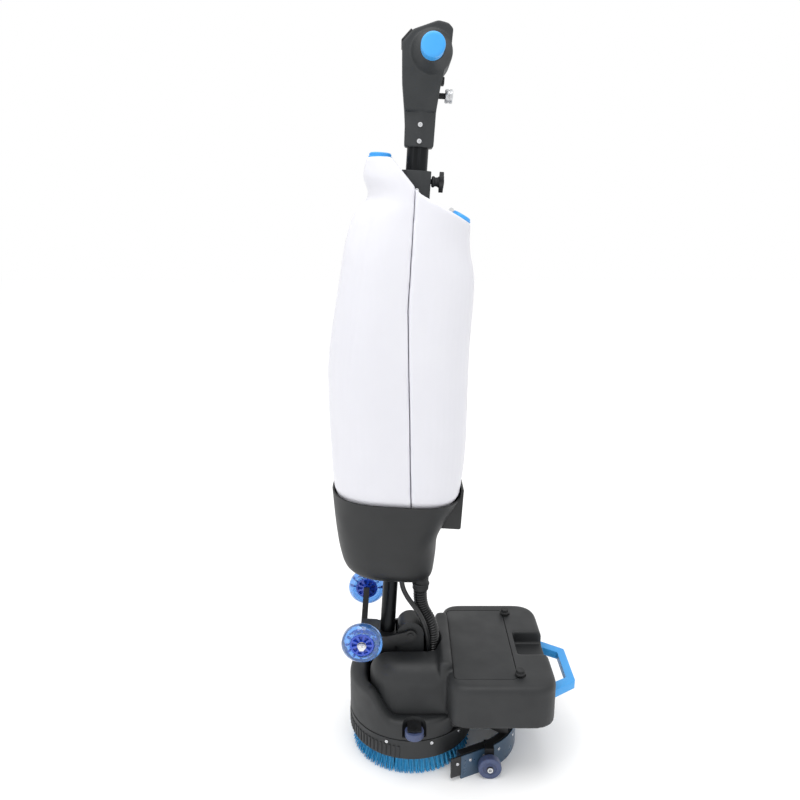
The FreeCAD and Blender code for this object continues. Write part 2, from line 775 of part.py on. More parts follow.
def rear_handle():
    """Flat carrying loop behind the battery box."""
    low = "loop_z - loop_thick / 2"
    high = "loop_z + loop_thick / 2"
    outer = slab(HEAD, "XY", [
        ("box_rear", "-loop_root_half"), ("loop_out", "-loop_bar_half"),
        ("loop_out", "loop_bar_half"), ("box_rear", "loop_root_half"),
    ], low, high)
    hole = slab(HEAD, "XY", [
        ("box_rear - 1", "-loop_root_half + 1.2 * loop_band"),
        ("loop_out - loop_band", "-loop_bar_half + 0.7 * loop_band"),
        ("loop_out - loop_band", "loop_bar_half - 0.7 * loop_band"),
        ("box_rear - 1", "loop_root_half - 1.2 * loop_band"),
    ], f"{low} - 1", f"{high} + 1")
    keep(cut(outer, hole), "rear_handle")


# ---------------------------------------------------------------- head: squeegee
def curved_band(start, end, low, high):
    """A U-shaped band round the rear of the brush, between two offsets from its middle line."""
    slope = math.radians(value("squeegee_slope"))
    normal = FreeCAD.Vector(math.sin(slope), math.cos(slope), 0)
    along = FreeCAD.Vector(-math.cos(slope), math.sin(slope), 0)
    centre = FreeCAD.Vector(value("squeegee_centre"), 0, value(low))
    radius = value("squeegee_radius")
    tangent_x = centre.x + radius * normal.x
    length = (tangent_x - value("squeegee_end_x")) / math.cos(slope)

    def edge(offset):
        meet = centre + normal * (radius + value(offset))
        tip = meet + along * length
        back = centre + FreeCAD.Vector(radius + value(offset), 0, 0)
        meet_far = FreeCAD.Vector(meet.x, -meet.y, meet.z)
        tip_far = FreeCAD.Vector(tip.x, -tip.y, tip.z)
        return tip, meet, back, meet_far, tip_far

    inner = edge(start)
    outer = edge(end)
    outline = [
        Part.LineSegment(outer[0], outer[1]), Part.Arc(outer[1], outer[2], outer[3]),
        Part.LineSegment(outer[3], outer[4]), Part.LineSegment(outer[4], inner[4]),
        Part.LineSegment(inner[4], inner[3]), Part.Arc(inner[3], inner[2], inner[1]),
        Part.LineSegment(inner[1], inner[0]), Part.LineSegment(inner[0], outer[0]),
    ]
    face = Part.Face(Part.Wire([piece.toShape() for piece in outline]))
    return face.extrude(FreeCAD.Vector(0, 0, value(high) - value(low)))


def squeegee():
    """Squeegee body with two blades, lift arms, lift brackets and a caster at each side."""
    place = frame_placement(HEAD)
    body_start = "-squeegee_body"
    keep(fixed(curved_band(body_start, "0", "squeegee_body_bottom", "squeegee_body_top"), place, "band"),
         "squeegee_body")
    blades = Part.makeCompound([
        curved_band("-squeegee_body - blade_thick", body_start, "0", "blade_top"),
        curved_band("0", "blade_thick", "0", "blade_top"),
    ])
    keep(fixed(blades, place, "blades"), "squeegee_blades")
    arms = []
    brackets = []
    foot_x = "squeegee_centre + squeegee_radius - 2 * squeegee_body - 8"
    for side, name in ((-1, "near"), (1, "far")):
        near_y = f"{side} * arm_y"
        far_y = f"{side} * (arm_y + arm_thick)"
        low_y, high_y = (near_y, far_y) if side > 0 else (far_y, near_y)
        arm = slab(HEAD, "XZ", [
            ("lift_x - 6", "lift_z - 7"), (foot_x, "squeegee_body_top"),
            (f"{foot_x} + squeegee_body", "squeegee_body_top"),
            (f"{foot_x} + squeegee_body", "squeegee_body_top + arm_height"),
            ("lift_x + 6", "lift_z + 7"), ("lift_x - 6", "lift_z + 7"),
        ], low_y, high_y)
        bore = rod(HEAD, ("lift_x", low_y, "lift_z"), "lift_pin_radius + running", "arm_thick", "y")
        arms.append(cut(arm, bore))
        lug_start = f"{side} * (arm_y + arm_thick + gap)"
        lug_end = f"{side} * (arm_y + 2 * arm_thick)"
        lug_low, lug_high = (lug_start, lug_end) if side > 0 else (lug_end, lug_start)
        lug = box(HEAD, ("lift_x - 7", lug_low, "lift_z - 8"), ("lift_x + 7", lug_high, "box_bottom"))
        pin_start = f"{side} * (arm_y - 2)"
        pin_low = pin_start if side > 0 else lug_low
        pin = rod(HEAD, ("lift_x", pin_low, "lift_z"), "lift_pin_radius", "2 * arm_thick + 2", "y")
        brackets.append(join(lug, pin))
    keep(together(*arms), "squeegee_arms")
    keep(together(*brackets), "lift_brackets")
    keep(together(caster(-1, "near"), caster(1, "far")), "caster_brackets")


def caster(side, name):
    """Squeegee caster: makes its wheel and returns its bracket with the axle."""
    plate = f"{side} * (caster_y - 4)"
    face = f"{side} * (caster_y - 0.7)"
    inner = f"{side} * (caster_y - 24)"
    plate_low, plate_high = (plate, face) if side > 0 else (face, plate)
    flange_low, flange_high = (inner, face) if side > 0 else (face, inner)
    cheek = box(HEAD, ("caster_x - 8", plate_low, "caster_radius - 7"),
                ("caster_x + 8", plate_high, "squeegee_body_top + 3"))
    flange = box(HEAD, ("caster_x - 8", flange_low, "squeegee_body_top"),
                 ("caster_x + 8", flange_high, "squeegee_body_top + 3"))
    start = plate if side > 0 else f"{side} * (caster_y + caster_width + 3)"
    axle = rod(HEAD, ("caster_x", start, "caster_radius"), "caster_axle_radius", "caster_width + 7", "y")
    head_y = f"{side} * (caster_y + caster_width + 0.5)"
    head_low = head_y if side > 0 else f"{head_y} - 2.5"
    nut = rod(HEAD, ("caster_x", head_low, "caster_radius"), "2 * caster_axle_radius", 2.5, "y")
    wheel_low = f"{side} * caster_y" if side > 0 else f"{side} * (caster_y + caster_width)"
    at = ("caster_x", wheel_low, "caster_radius")
    wheel = cut(rod(HEAD, at, "caster_radius", "caster_width", "y"),
                rod(HEAD, at, "caster_axle_radius + running", "caster_width", "y"))
    keep(wheel, f"caster_wheel_{name}")
    return join(cheek, flange, axle, nut)


# ---------------------------------------------------------------- column: foot and wheels
def column_foot():
    """Pole, fork with its hinge pin, wheel bracket, and the pair of transport wheels."""
    sleeve_step = "base_floor - 2"
    keep(lathe(COLUMN, [
        ("pole_radius - pole_wall", "foot_bottom"), ("pole_radius", "foot_bottom"),
        ("pole_radius", sleeve_step), ("sleeve_radius", sleeve_step), ("sleeve_radius", "sleeve_top"),
        ("tube_bore", "sleeve_top"),
        ("tube_bore", "base_floor + 6"),
        ("pole_radius - pole_wall", "base_floor + 6"),
    ]), "pole_tube")
    foot_top = "foot_bottom + foot_height"
    block = box(COLUMN, ("-foot_front", "-foot_half", "foot_bottom"),
                ("pole_radius + wall / 2", "foot_half", foot_top))
    room = rod(COLUMN, (0, 0, "foot_bottom - 1"), "pole_radius", "foot_height + 2")
    arms = []
    for side in (-1, 1):
        inner = f"{side} * (post_half + gap)"
        outer = f"{side} * foot_half"
        low, high = (inner, outer) if side > 0 else (outer, inner)
        arms.append(slab(COLUMN, "XZ", [
            ("0", "foot_bottom"), ("pole_offset", "foot_drop - fork_boss + 1"),
            ("pole_offset", "foot_drop + fork_boss - 1"), ("0", foot_top),
        ], low, high))
        length = "foot_half - post_half - gap"
        arms.append(rod(COLUMN, ("pole_offset", low, "foot_drop"), "fork_boss", length, "y"))
    pin = rod(COLUMN, ("pole_offset", "-foot_half - 2", "foot_drop"), "hinge_pin_radius",
              "2 * foot_half + 4", "y")
    keep(join(cut(join(block, *arms), room), pin), "hinge_fork")
    arm_back = "wheel_x + wheel_arm_thick / 2"
    arm_front = "wheel_x - wheel_arm_thick / 2"
    spine = box(COLUMN, (arm_front, "-foot_half + 8", "foot_bottom + 2"),
                ("-foot_front", "foot_half - 8", "foot_bottom + 32"))
    pieces = [spine]
    for side in (-1, 1):
        tip = f"{side} * (wheel_y - 3)"
        pieces.append(slab(COLUMN, "YZ", [
            (f"{side} * (foot_half - 10)", "foot_bottom + 2"), (f"{side} * (wheel_y - 9)", "wheel_z - 8"),
            (tip, "wheel_z - 7"), (tip, "wheel_z + 7"), (f"{side} * (wheel_y - 9)", "wheel_z + 8"),
            (f"{side} * (foot_half - 10)", "foot_bottom + 30"),
        ], arm_front, arm_back))
    keep(join(*pieces), "wheel_bracket")
    axles = []
    for side, name in ((-1, "near"), (1, "far")):
        inner = f"{side} * (wheel_y - 3)"
        outer = f"{side} * (wheel_y + wheel_width + 6)"
        axle_low = inner if side > 0 else outer
        axle = rod(COLUMN, ("wheel_x", axle_low, "wheel_z"), "wheel_axle_radius", "wheel_width + 9", "y")
        nut_start = f"{side} * (wheel_y + wheel_width + 1)"
        nut_low = nut_start if side > 0 else f"{nut_start} - 4"
        nut = rod(COLUMN, ("wheel_x", nut_low, "wheel_z"), "wheel_axle_radius + 3", 4, "y")
        axles.append(join(axle, nut))
        low = f"{side} * wheel_y" if side > 0 else f"{side} * (wheel_y + wheel_width)"
        at = ("wheel_x", low, "wheel_z")
        hub = cut(rod(COLUMN, at, "wheel_hub_radius", "wheel_width", "y"),
                  rod(COLUMN, at, "wheel_axle_radius + running", "wheel_width", "y"))
        tyre = cut(rod(COLUMN, at, "wheel_radius", "wheel_width", "y"),
                   rod(COLUMN, at, "wheel_hub_radius", "wheel_width", "y"))
        keep(together(hub, tyre), f"transport_wheel_{name}")
    keep(together(*axles), "wheel_axles")


# ---------------------------------------------------------------- column: tank base
def tank_base():
    """Base shell with its motor bay and tank seat, and what the bay holds."""
    bay_floor = "base_heel_z"
    shell = tower(BASE_SECTIONS, 0, 0.62)
    room = tower(BASE_SECTIONS, value("wall"), 0.62)
    bay = room.common(layer_between(bay_floor, "base_floor"))
    seat = room.common(layer_between("base_floor + 6", "base_rim + 1"))
    above = tank_seat_top()
    pole = Part.makeCylinder(value("pole_radius"), value("base_floor"), FreeCAD.Vector(0, 0, 0))
    sleeve = Part.makeCylinder(value("sleeve_radius"), 400, FreeCAD.Vector(0, 0, value("base_floor") - 2))
    duct_foot = FreeCAD.Vector(value("cuff_x"), 0, value("base_bottom") - 5)
    duct = Part.makeCylinder(value("hose_bore"), 40, duct_foot)
    eye = Part.makeCylinder(12, 12, FreeCAD.Vector(value("suction_x"), 0, value("base_floor") - 2))
    solid = shell.cut([bay, seat, above, pole, sleeve, duct, eye])
    place = frame_placement(COLUMN)
    keep(fixed(solid, place, "base"), "tank_base")
    motor = join(
        rod(COLUMN, ("suction_x", 0, bay_floor), "suction_radius / 2", "suction_bottom - base_heel_z"),
        rod(COLUMN, ("suction_x", 0, "suction_bottom"), "suction_radius", "suction_top - suction_bottom"),
    )
    shaft_room = rod(COLUMN, ("suction_x", 0, "suction_top - 10"), "3 + running", 11)
    keep(cut(motor, shaft_room), "suction_motor")
    disc = rod(COLUMN, ("suction_x", 0, "suction_top + 2"), "impeller_radius", "impeller_thick")
    shaft = rod(COLUMN, ("suction_x", 0, "suction_top - 9"), 3, "impeller_thick + 11")
    keep(join(disc, shaft), "suction_impeller")
    keep(box(COLUMN, ("board_x", "-board_half", bay_floor), ("board_x + 2", "board_half", "board_top")),
         "control_board")
    cuff_low = "base_bottom - cuff_length"
    cuff = cut(rod(COLUMN, ("cuff_x", 0, cuff_low), "cuff_radius", "cuff_length"),
               rod(COLUMN, ("cuff_x", 0, cuff_low), "hose_bore", "cuff_length"))
    keep(cuff, "hose_cuff")
    rise = "(base_lip_rear - base_mid_rear) / (base_lip_z - base_mid_z)"
    foot_x = f"base_mid_rear + (charger_bottom - base_mid_z) * {rise} + gap"
    keep(slab(COLUMN, "XZ", [
        (foot_x, "charger_bottom"), ("charger_rear", "charger_bottom"), ("charger_rear", "charger_top"),
        ("base_lip_rear + 2", "charger_top"), ("base_lip_rear + 2", "base_lip_z"),
        ("base_lip_rear + gap", "base_lip_z"),
    ], "-charger_half", "charger_half"), "charger_box")


def layer_between(low, high):
    """A wide level slice between two heights of the column."""
    reach = 600
    corner = FreeCAD.Vector(-reach / 2, -reach / 2, value(low))
    return Part.makeBox(reach, reach, value(high) - value(low), corner)


def tank_seat_top():
    """The space above the rim."""
    return layer_between("base_rim", "base_rim + 60")


# ---------------------------------------------------------------- column: tanks
def slope_height(x):
    """Height of the tanks' sloping top at a distance behind the pole."""
    run = (x - value("crown_slope_x")) / (value("slope_end_x") - value("crown_slope_x"))
    return value("crown_top") + run * (value("slope_end_z") - value("crown_top"))


def tank_region(is_clean, inset):
    """The side of the seam that a tank fills, below the sloping top, drawn in by an inset."""
    far = 300
    width = 400
    draw = inset + value("seam_gap") / 2
    foot_z = value("tank_foot_z") + inset
    bend_z = value("seam_bend_z")
    sign = -1 if is_clean else 1
    foot_x = value("seam_foot_x") + sign * draw
    bend_x = value("seam_bend_x") + sign * draw
    corners = [(sign * far, foot_z), (foot_x, foot_z), (bend_x, bend_z)]
    corners.append((bend_x, slope_height(bend_x) - inset))
    if is_clean:
        crown = value("crown_top") - inset
        corners += [(value("crown_slope_x"), crown), (-far, crown)]
    else:
        end_x = value("slope_end_x")
        drop = math.tan(math.radians(value("outlet_tilt"))) * (far - end_x)
        corners += [(end_x, value("slope_end_z") - inset), (far, value("slope_end_z") - inset - drop)]
    points = [FreeCAD.Vector(x, -width / 2, z) for x, z in corners]
    face = Part.Face(Part.makePolygon(points + points[:1]))
    return face.extrude(FreeCAD.Vector(0, width, 0))


def pole_channel(grow):
    """The upright channel between the tanks for the pole, its clamp and the star knob."""
    half = value("channel_half") + grow
    low = 200
    high = 900
    straight = Part.makeBox(2 * half, 2 * half, high - low, FreeCAD.Vector(-half, -half, low))
    relief_z = value("relief_z") - grow
    relief_corner = FreeCAD.Vector(0, -half, relief_z)
    relief = Part.makeBox(value("relief_x") + grow, 2 * half, high - relief_z, relief_corner)
    return straight.fuse(relief)


def tank(is_clean, mouth):
    """One blow-moulded tank: the shell, less its room, its pole channel and its mouth."""
    wall = value("tank_wall")
    outer = tower(TANK_SECTIONS, 0, 0.62).common(tank_region(is_clean, 0)).cut(pole_channel(0))
    room = tower(TANK_SECTIONS, wall, 0.62).common(tank_region(is_clean, wall)).cut(pole_channel(wall))
    return fixed(outer.cut([room, mouth]), frame_placement(COLUMN), "tank")


def tanks():
    """Clean-water tank in front, recovery tank behind, their caps and the float."""
    mouth_radius = value("mouth_radius")
    drop = 20
    clean_mouth = Part.makeCylinder(mouth_radius, drop + 5,
                                    FreeCAD.Vector(value("mouth_x"), 0, value("crown_top") - drop))
    keep(tank(True, clean_mouth), "clean_tank")
    plug = rod(COLUMN, ("mouth_x", 0, "crown_top - cap_plug"), "mouth_radius - running", "cap_plug + 1")
    flange = rod(COLUMN, ("mouth_x", 0, "crown_top"), "clean_cap_radius", "clean_cap_height")
    keep(join(plug, flange), "clean_tank_cap")
    tilt = math.radians(value("outlet_tilt"))
    drop_to_outlet = (value("outlet_x") - value("slope_end_x")) * math.tan(tilt)
    middle = FreeCAD.Vector(value("outlet_x"), 0, value("slope_end_z") - drop_to_outlet)
    normal = FreeCAD.Vector(math.sin(tilt), 0, math.cos(tilt))
    outlet_radius = mouth_radius - 2
    outlet = Part.makeCylinder(outlet_radius, drop / 2 + 5, middle - normal * (drop / 2), normal)
    keep(tank(False, outlet), "recovery_tank")
    plug = Part.makeCylinder(outlet_radius - value("running"), value("cap_plug") + 1,
                             middle - normal * value("cap_plug"), normal)
    flange = Part.makeCylinder(value("recovery_cap_radius"), value("recovery_cap_height"), middle, normal)
    place = frame_placement(COLUMN)
    keep(fixed(plug.fuse(flange), place, "cap"), "recovery_tank_cap")
    float_valve()


def float_valve():
    """Float that shuts the suction when the recovery tank is full, in a cage on the relief's wall."""
    float_x = "relief_x + tank_wall + float_radius + wall"
    height = "float_travel + 2 * float_radius + 2"
    barrel = rod(COLUMN, (float_x, 0, "float_z - wall"), "float_radius + gap + 1.6", f"{height} + 2 * wall")
    bracket = box(COLUMN, ("relief_x + tank_wall", "-float_radius / 2", "float_z - wall"),
                  (float_x, "float_radius / 2", f"float_z + {height}"))
    room = rod(COLUMN, (float_x, 0, "float_z"), "float_radius + gap", height)
    keep(cut(join(barrel, bracket), room), "float_cage")
    keep(rod(COLUMN, (float_x, 0, "float_z"), "float_radius", "2 * float_radius"), "float_valve")


# ---------------------------------------------------------------- column: pole, clamp and handle
def clamp():
    """Clamp collar on the sleeve's mouth with its screws and star knob."""
    collar = lathe(COLUMN, [
        ("sleeve_radius + running", "collar_foot"), ("collar_radius", "collar_foot"),
        ("collar_radius", "collar_top"), ("tube_bore", "collar_top"),
        ("tube_bore", "sleeve_top"), ("sleeve_radius + running", "sleeve_top"),
    ])
    stem_hole = rod(COLUMN, (0, 0, "star_z"), "star_stem_radius + running", "collar_radius + 5", "x")
    stem = rod(COLUMN, ("tube_radius + 0.6", 0, "star_z"), "star_stem_radius", 8, "x")
    hub = rod(COLUMN, ("collar_radius + gap", 0, "star_z"), "star_hub_radius", 14, "x")
    wing = rod(COLUMN, ("collar_radius + gap + 14", 0, "star_z"), "star_wing_radius", 6, "x")
    keep(join(stem, hub, wing), "star_knob")
    screws = []
    for side in (-1, 1):
        low = "-collar_radius - screw_head + 1.2" if side < 0 else "collar_radius - 1.2"
        head = rod(COLUMN, (1.2, low, "star_z - 15.5"), "screw_radius", "screw_head", "y")
        screws.append(cut(head, rod(COLUMN, (0, 0, "collar_foot"), "collar_radius", 80)))
    keep(together(cut(collar, stem_hole), *screws), "clamp_collar")


def handle_block(inset, low):
    """The handle head between its side outline and its front outline, drawn in by an inset."""
    side = []
    for corner in HANDLE_OUTLINE:
        x = f"{corner}_corner_x"
        z = f"{corner}_corner_z"
        toward = "+" if HANDLE_OUTLINE[corner][0] < 0 else "-"
        height = low if corner in ("heel", "cuff") else f"{z} - ({inset})"
        side.append((f"{x} {toward} ({inset})", height))
    profile = slab(COLUMN, "XZ", side, "-handle_half - 5", "handle_half + 5")
    neck = f"handle_neck_half - ({inset})"
    wide = f"handle_half - ({inset})"
    step = f"handle_step + ({inset})"
    flare = f"handle_flare_z + ({inset})"
    top = "crest_corner_z + 5"
    front = slab(COLUMN, "YZ", [
        (f"-({neck})", low), (neck, low), (neck, step), (wide, flare), (wide, top),
        (f"-({wide})", top), (f"-({wide})", flare), (f"-({neck})", step),
    ], -60, 60)
    return shared(profile, front)


def handle():
    """Telescopic tube with the handle head, its controls and its blue grip ends."""
    keep(lathe(COLUMN, [
        ("tube_radius - tube_wall", "tube_foot"), ("tube_radius", "tube_foot"),
        ("tube_radius", "handle_step - 4"), ("tube_radius - tube_wall", "handle_step - 4"),
    ]), "telescopic_tube")
    bore = rod(COLUMN, (0, 0, "handle_foot - 1"), "tube_radius", "handle_step - handle_foot - 3")
    dial_hole = rod(COLUMN, ("dial_x - 22", 0, "dial_z"), "dial_stem_radius + running", 30, "x")
    pocket = box(COLUMN, ("palm_corner_x - 12", "-trigger_half - gap", "dial_z + 14"),
                 ("palm_corner_x + 20", "trigger_half + gap", "ledge_corner_z - 4"))
    shell = cut(handle_block("0", "handle_foot"), handle_block("wall", "handle_step + 6"))
    keep(cut(shell, bore, dial_hole, pocket), "handle_head")
    keep(box(COLUMN, ("palm_corner_x - 8", "-trigger_half", "dial_z + 15"),
             ("palm_corner_x + 6", "trigger_half", "ledge_corner_z - 5")), "start_trigger")
    caps = []
    for low in ("-handle_half - grip_cap_length", "handle_half"):
        caps.append(rod(COLUMN, ("grip_x", low, "grip_z"), "grip_cap_radius", "grip_cap_length", "y"))
    keep(together(*caps), "grip_caps")
    stem = rod(COLUMN, ("dial_x - 20", 0, "dial_z"), "dial_stem_radius", 21, "x")
    dial = rod(COLUMN, ("dial_x", 0, "dial_z"), "dial_radius", "dial_thick", "x")
    keep(join(stem, dial), "speed_dial")
    screws = []
    for side in (-1, 1):
        low = "-handle_neck_half - screw_head" if side < 0 else "handle_neck_half"
        for height in ("handle_foot + 8.5", "handle_foot + 32.5"):
            screws.append(rod(COLUMN, (1, low, height), "screw_radius", "screw_head", "y"))
    keep(together(*screws), "handle_screws")
    panel()


def panel():
    """Control panel on the sloping front of the handle head, with three push buttons."""
    run = value("temple_corner_x") - value("brow_corner_x")
    rise = value("temple_corner_z") - value("brow_corner_z")
    length = math.hypot(run, rise)
    slope = math.degrees(math.atan2(rise, run))
    middle = ("(brow_corner_x + temple_corner_x) / 2", 0, "(brow_corner_z + temple_corner_z) / 2")
    face = f"{COLUMN} * {spot(middle, '0;1;0', -slope)}"
    half = length / 2 - 1
    plate = box(face, (-half, "-panel_half", 0), (half, "panel_half", "panel_thick"))
    holes = []
    for number, name in ((-1, "brush_button"), (0, "power_button"), (1, "suction_button")):
        y = f"{number} * button_pitch"
        holes.append(rod(face, (0, y, -1), "button_radius + 2 * running", "panel_thick + 2"))
        keep(rod(face, (0, y, "button_lift"), "button_radius", "button_height"), name)
    keep(cut(plate, *holes), "control_panel")


# ---------------------------------------------------------------- hoses
def bent_rod(points, radius, name):
    """A round hose along straight runs that tangent arcs join."""
    runs = [end - start for start, end in zip(points, points[1:])]
    edges = []
    start = points[0]
    for index in range(1, len(points) - 1):
        before = runs[index - 1]
        after = runs[index]
        half_turn = before.getAngle(after) / 2
        reach = 0.45 * min(before.Length, after.Length)
        bend = reach / math.tan(half_turn)
        print(name, "bend radius", round(bend, 1))
        into = FreeCAD.Vector(before).normalize()
        out = FreeCAD.Vector(after).normalize()
        first = points[index] - into * reach
        last = points[index] + out * reach
        inward = (out - into).normalize()
        middle = points[index] + inward * (bend / math.cos(half_turn) - bend)
        edges.append(Part.LineSegment(start, first).toShape())
        edges.append(Part.Arc(first, middle, last).toShape())
        start = last
    edges.append(Part.LineSegment(start, points[-1]).toShape())
    path = Part.Wire(edges)
    circle = Part.Circle(points[0], runs[0], radius).toShape()
    solid = path.makePipeShell([Part.Wire([circle])], True, False)
    share = solid.Volume / (math.pi * radius ** 2 * path.Length)
    print(name, "length", round(path.Length, 1), "volume share", round(share, 4))
    return solid


def hoses():
    """Suction hose and water hose from the tank base into the well, whole along their routes."""
    head = frame_placement(HEAD)
    column = frame_placement(COLUMN)

    def on_column(x, y, z):
        return column.multVec(FreeCAD.Vector(x, y, z))

    def on_head(x, y, z):
        return head.multVec(FreeCAD.Vector(x, y, z))

    top = value("base_bottom") - value("cuff_length")
    port_top = value("gearbox_top") + value("port_height")
    rim = value("dome_top")
    x = value("cuff_x")
    port_x = value("port_x")
    suction = [
        on_column(x, 0, top), on_column(x, 0, top - 32), on_head(port_x - 0.5, 0, rim + 36),
        on_head(port_x, 0, rim - 20), on_head(port_x, 0, port_top),
    ]
    keep(fixed(bent_rod(suction, value("hose_radius"), "suction_hose"), FreeCAD.Placement(), "hose"),
         "suction_hose")
    cord_x = value("port_x") - 7
    water = [
        on_column(20, -10, value("base_bottom")), on_column(20, -10, value("base_bottom") - 20),
        on_head(18, -20.5, rim + 64), on_head(cord_x - 1, -21, rim + 18),
        on_head(cord_x, -20, rim - 32),
        on_head(cord_x, -20, value("gearbox_top")),
    ]
    keep(fixed(bent_rod(water, value("cord_radius"), "water_hose"), FreeCAD.Placement(), "hose"),
         "water_hose")
    low = ("port_x", 0, "gearbox_top")
    keep(cut(rod(HEAD, low, "port_radius", "port_height"), rod(HEAD, low, "hose_bore", "port_height")),
         "suction_port")


# ---------------------------------------------------------------- build and export
def export():
    """Check every object, then write each sub-part to its own STEP file."""
    doc.recompute()
    for item in doc.Objects:
        if "Invalid" in item.State or "Error" in item.State:
            raise RuntimeError(f"{item.Label} ({item.Name}) failed: {item.State}")
    labels = [item.Label for item in parts]
    if len(set(labels)) != len(labels):
        raise RuntimeError("two sub-parts share a label")
    for item in parts:
        if item.Shape.isNull() or not item.Shape.isValid():
            raise RuntimeError(f"{item.Label} has no valid shape")
    os.makedirs("parts", exist_ok=True)
    for item in parts:
        item.Shape.exportStep(f"parts/{item.Label}.step")
    print(len(parts), "nodes written")


brush()
drive()
dome()
fender()
guide_rollers()
battery_box()
battery_lid()
rear_handle()
squeegee()
column_foot()
tank_base()
tanks()
clamp()
handle()
hoses()
export()
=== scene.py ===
import json
import math
import random

import bmesh
import bpy
from mathutils import Matrix, Vector


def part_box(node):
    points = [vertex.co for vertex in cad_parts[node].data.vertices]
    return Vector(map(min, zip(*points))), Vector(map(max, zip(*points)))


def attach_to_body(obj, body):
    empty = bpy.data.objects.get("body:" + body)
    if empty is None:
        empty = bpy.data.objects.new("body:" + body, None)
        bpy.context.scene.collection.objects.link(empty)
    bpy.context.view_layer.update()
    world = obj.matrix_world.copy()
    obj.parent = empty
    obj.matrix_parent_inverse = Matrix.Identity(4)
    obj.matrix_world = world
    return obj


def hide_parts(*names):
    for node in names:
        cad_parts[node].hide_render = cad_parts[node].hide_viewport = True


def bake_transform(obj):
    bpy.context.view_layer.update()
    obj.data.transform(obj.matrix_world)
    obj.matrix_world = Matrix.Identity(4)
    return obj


# Compact disc floor scrubber. Sizes are millimetres in the frame of the head (brush axis, floor) or of
# the leaning column (pole axis), which placing matrices turn into metres.  +X is rearwards, -Y is near.
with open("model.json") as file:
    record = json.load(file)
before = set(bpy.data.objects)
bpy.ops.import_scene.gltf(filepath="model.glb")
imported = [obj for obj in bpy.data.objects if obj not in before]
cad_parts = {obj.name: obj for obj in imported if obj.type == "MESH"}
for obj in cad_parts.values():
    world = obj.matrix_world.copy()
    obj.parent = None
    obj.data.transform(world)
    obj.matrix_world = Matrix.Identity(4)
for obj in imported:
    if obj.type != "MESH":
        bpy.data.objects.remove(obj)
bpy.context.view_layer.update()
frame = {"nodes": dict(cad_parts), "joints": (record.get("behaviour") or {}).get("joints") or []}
mm = 0.001

machine = {
    "lean": 3.46,          # degrees that the column leans back at rest
    "poleOffset": 42.0,    # pole axis in front of the hinge
    "footDrop": 17.5,      # origin of the column frame below the hinge
}
plateLow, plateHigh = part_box("brush_plate")
tiltJoint = next(joint for joint in frame["joints"] if joint["name"] == "column_tilt")
headFrame = Matrix.Translation(((plateLow.x + plateHigh.x) / 2, 0, 0)) @ Matrix.Scale(mm, 4)
columnFrame = (
    Matrix.Translation(tiltJoint["pos_m"]) @ Matrix.Rotation(math.radians(machine["lean"]), 4, "Y")
    @ Matrix.Scale(mm, 4) @ Matrix.Translation((-machine["poleOffset"], 0, -machine["footDrop"]))
)


# lowest and highest corners of a CAD node, measured in the head's or the column's frame
def localBox(node, placing):
    back = placing.inverted()
    points = [back @ vertex.co for vertex in frame["nodes"][node].data.vertices]
    low = Vector([min(point[axis] for point in points) for axis in range(3)])
    high = Vector([max(point[axis] for point in points) for axis in range(3)])
    return low, high


# ---- mesh helpers
# an outline with its corners rounded; a third number gives a corner its own radius
def roundCorners(corners, radius, steps=5):
    smooth = []
    for index, corner in enumerate(corners):
        here = Vector(corner[:2])
        before = Vector(corners[index - 1][:2]) - here
        after = Vector(corners[(index + 1) % len(corners)][:2]) - here
        bend = corner[2] if len(corner) > 2 else radius
        opening = before.angle(after)
        reach = min(bend / math.tan(opening / 2), 0.49 * before.length, 0.49 * after.length)
        start = here + before.normalized() * reach
        end = here + after.normalized() * reach
        for step in range(steps + 1):
            t = step / steps
            smooth.append((1 - t) ** 2 * start + 2 * t * (1 - t) * here + t * t * end)
    return smooth


def loft(rings, capped=True):
    mesh = bmesh.new()
    loops = [[mesh.verts.new(point) for point in ring] for ring in rings]
    for lower, upper in zip(loops, loops[1:]):
        for step in range(len(lower)):
            after = (step + 1) % len(lower)
            mesh.faces.new((lower[step], lower[after], upper[after], upper[step]))
    mesh.faces.new(loops[0])
    if capped:
        mesh.faces.new(loops[-1])
    return mesh


# an outline pushed along one axis of its frame
def prism(outline, low, high, along="z"):
    def at(point, level):
        a, b = point[0], point[1]
        return {"z": (a, b, level), "y": (a, level, b), "x": (level, a, b)}[along]
    return loft([[at(point, low) for point in outline], [at(point, high) for point in outline]])


def block(low, high):
    corners = [(low[0], low[1]), (high[0], low[1]), (high[0], high[1]), (low[0], high[1])]
    return prism(corners, low[2], high[2])


# a profile of (radius, height) points turned about Z; a closed profile makes a ring
def spin(profile, segments=64, closed=False):
    mesh = bmesh.new()
    rings = []
    for radius, height in profile:
        if radius < 1e-6:
            rings.append([mesh.verts.new((0, 0, height))] * segments)
            continue
        turns = [2 * math.pi * step / segments for step in range(segments)]
        rings.append([mesh.verts.new((radius * math.cos(a), radius * math.sin(a), height)) for a in turns])
    for lower, upper in zip(rings, rings[1:] + (rings[:1] if closed else [])):
        for step in range(segments):
            after = (step + 1) % segments
            corners = list(dict.fromkeys((lower[step], lower[after], upper[after], upper[step])))
            if len(corners) > 2:
                mesh.faces.new(corners)
    return mesh


# turns a mesh made about Z so that it lies along another axis, and moves it
def laid(mesh, at, along="z"):
    quarter = math.pi / 2
    turns = {"z": Matrix(), "y": Matrix.Rotation(-quarter, 4, "X"), "-y": Matrix.Rotation(quarter, 4, "X"),
             "x": Matrix.Rotation(quarter, 4, "Y")}
    mesh.transform(Matrix.Translation(at) @ turns[along])
    return mesh


def rod(at, radius, length, along="z", segments=48):
    return laid(spin([(0, 0), (radius, 0), (radius, length), (0, length)], segments), at, along)


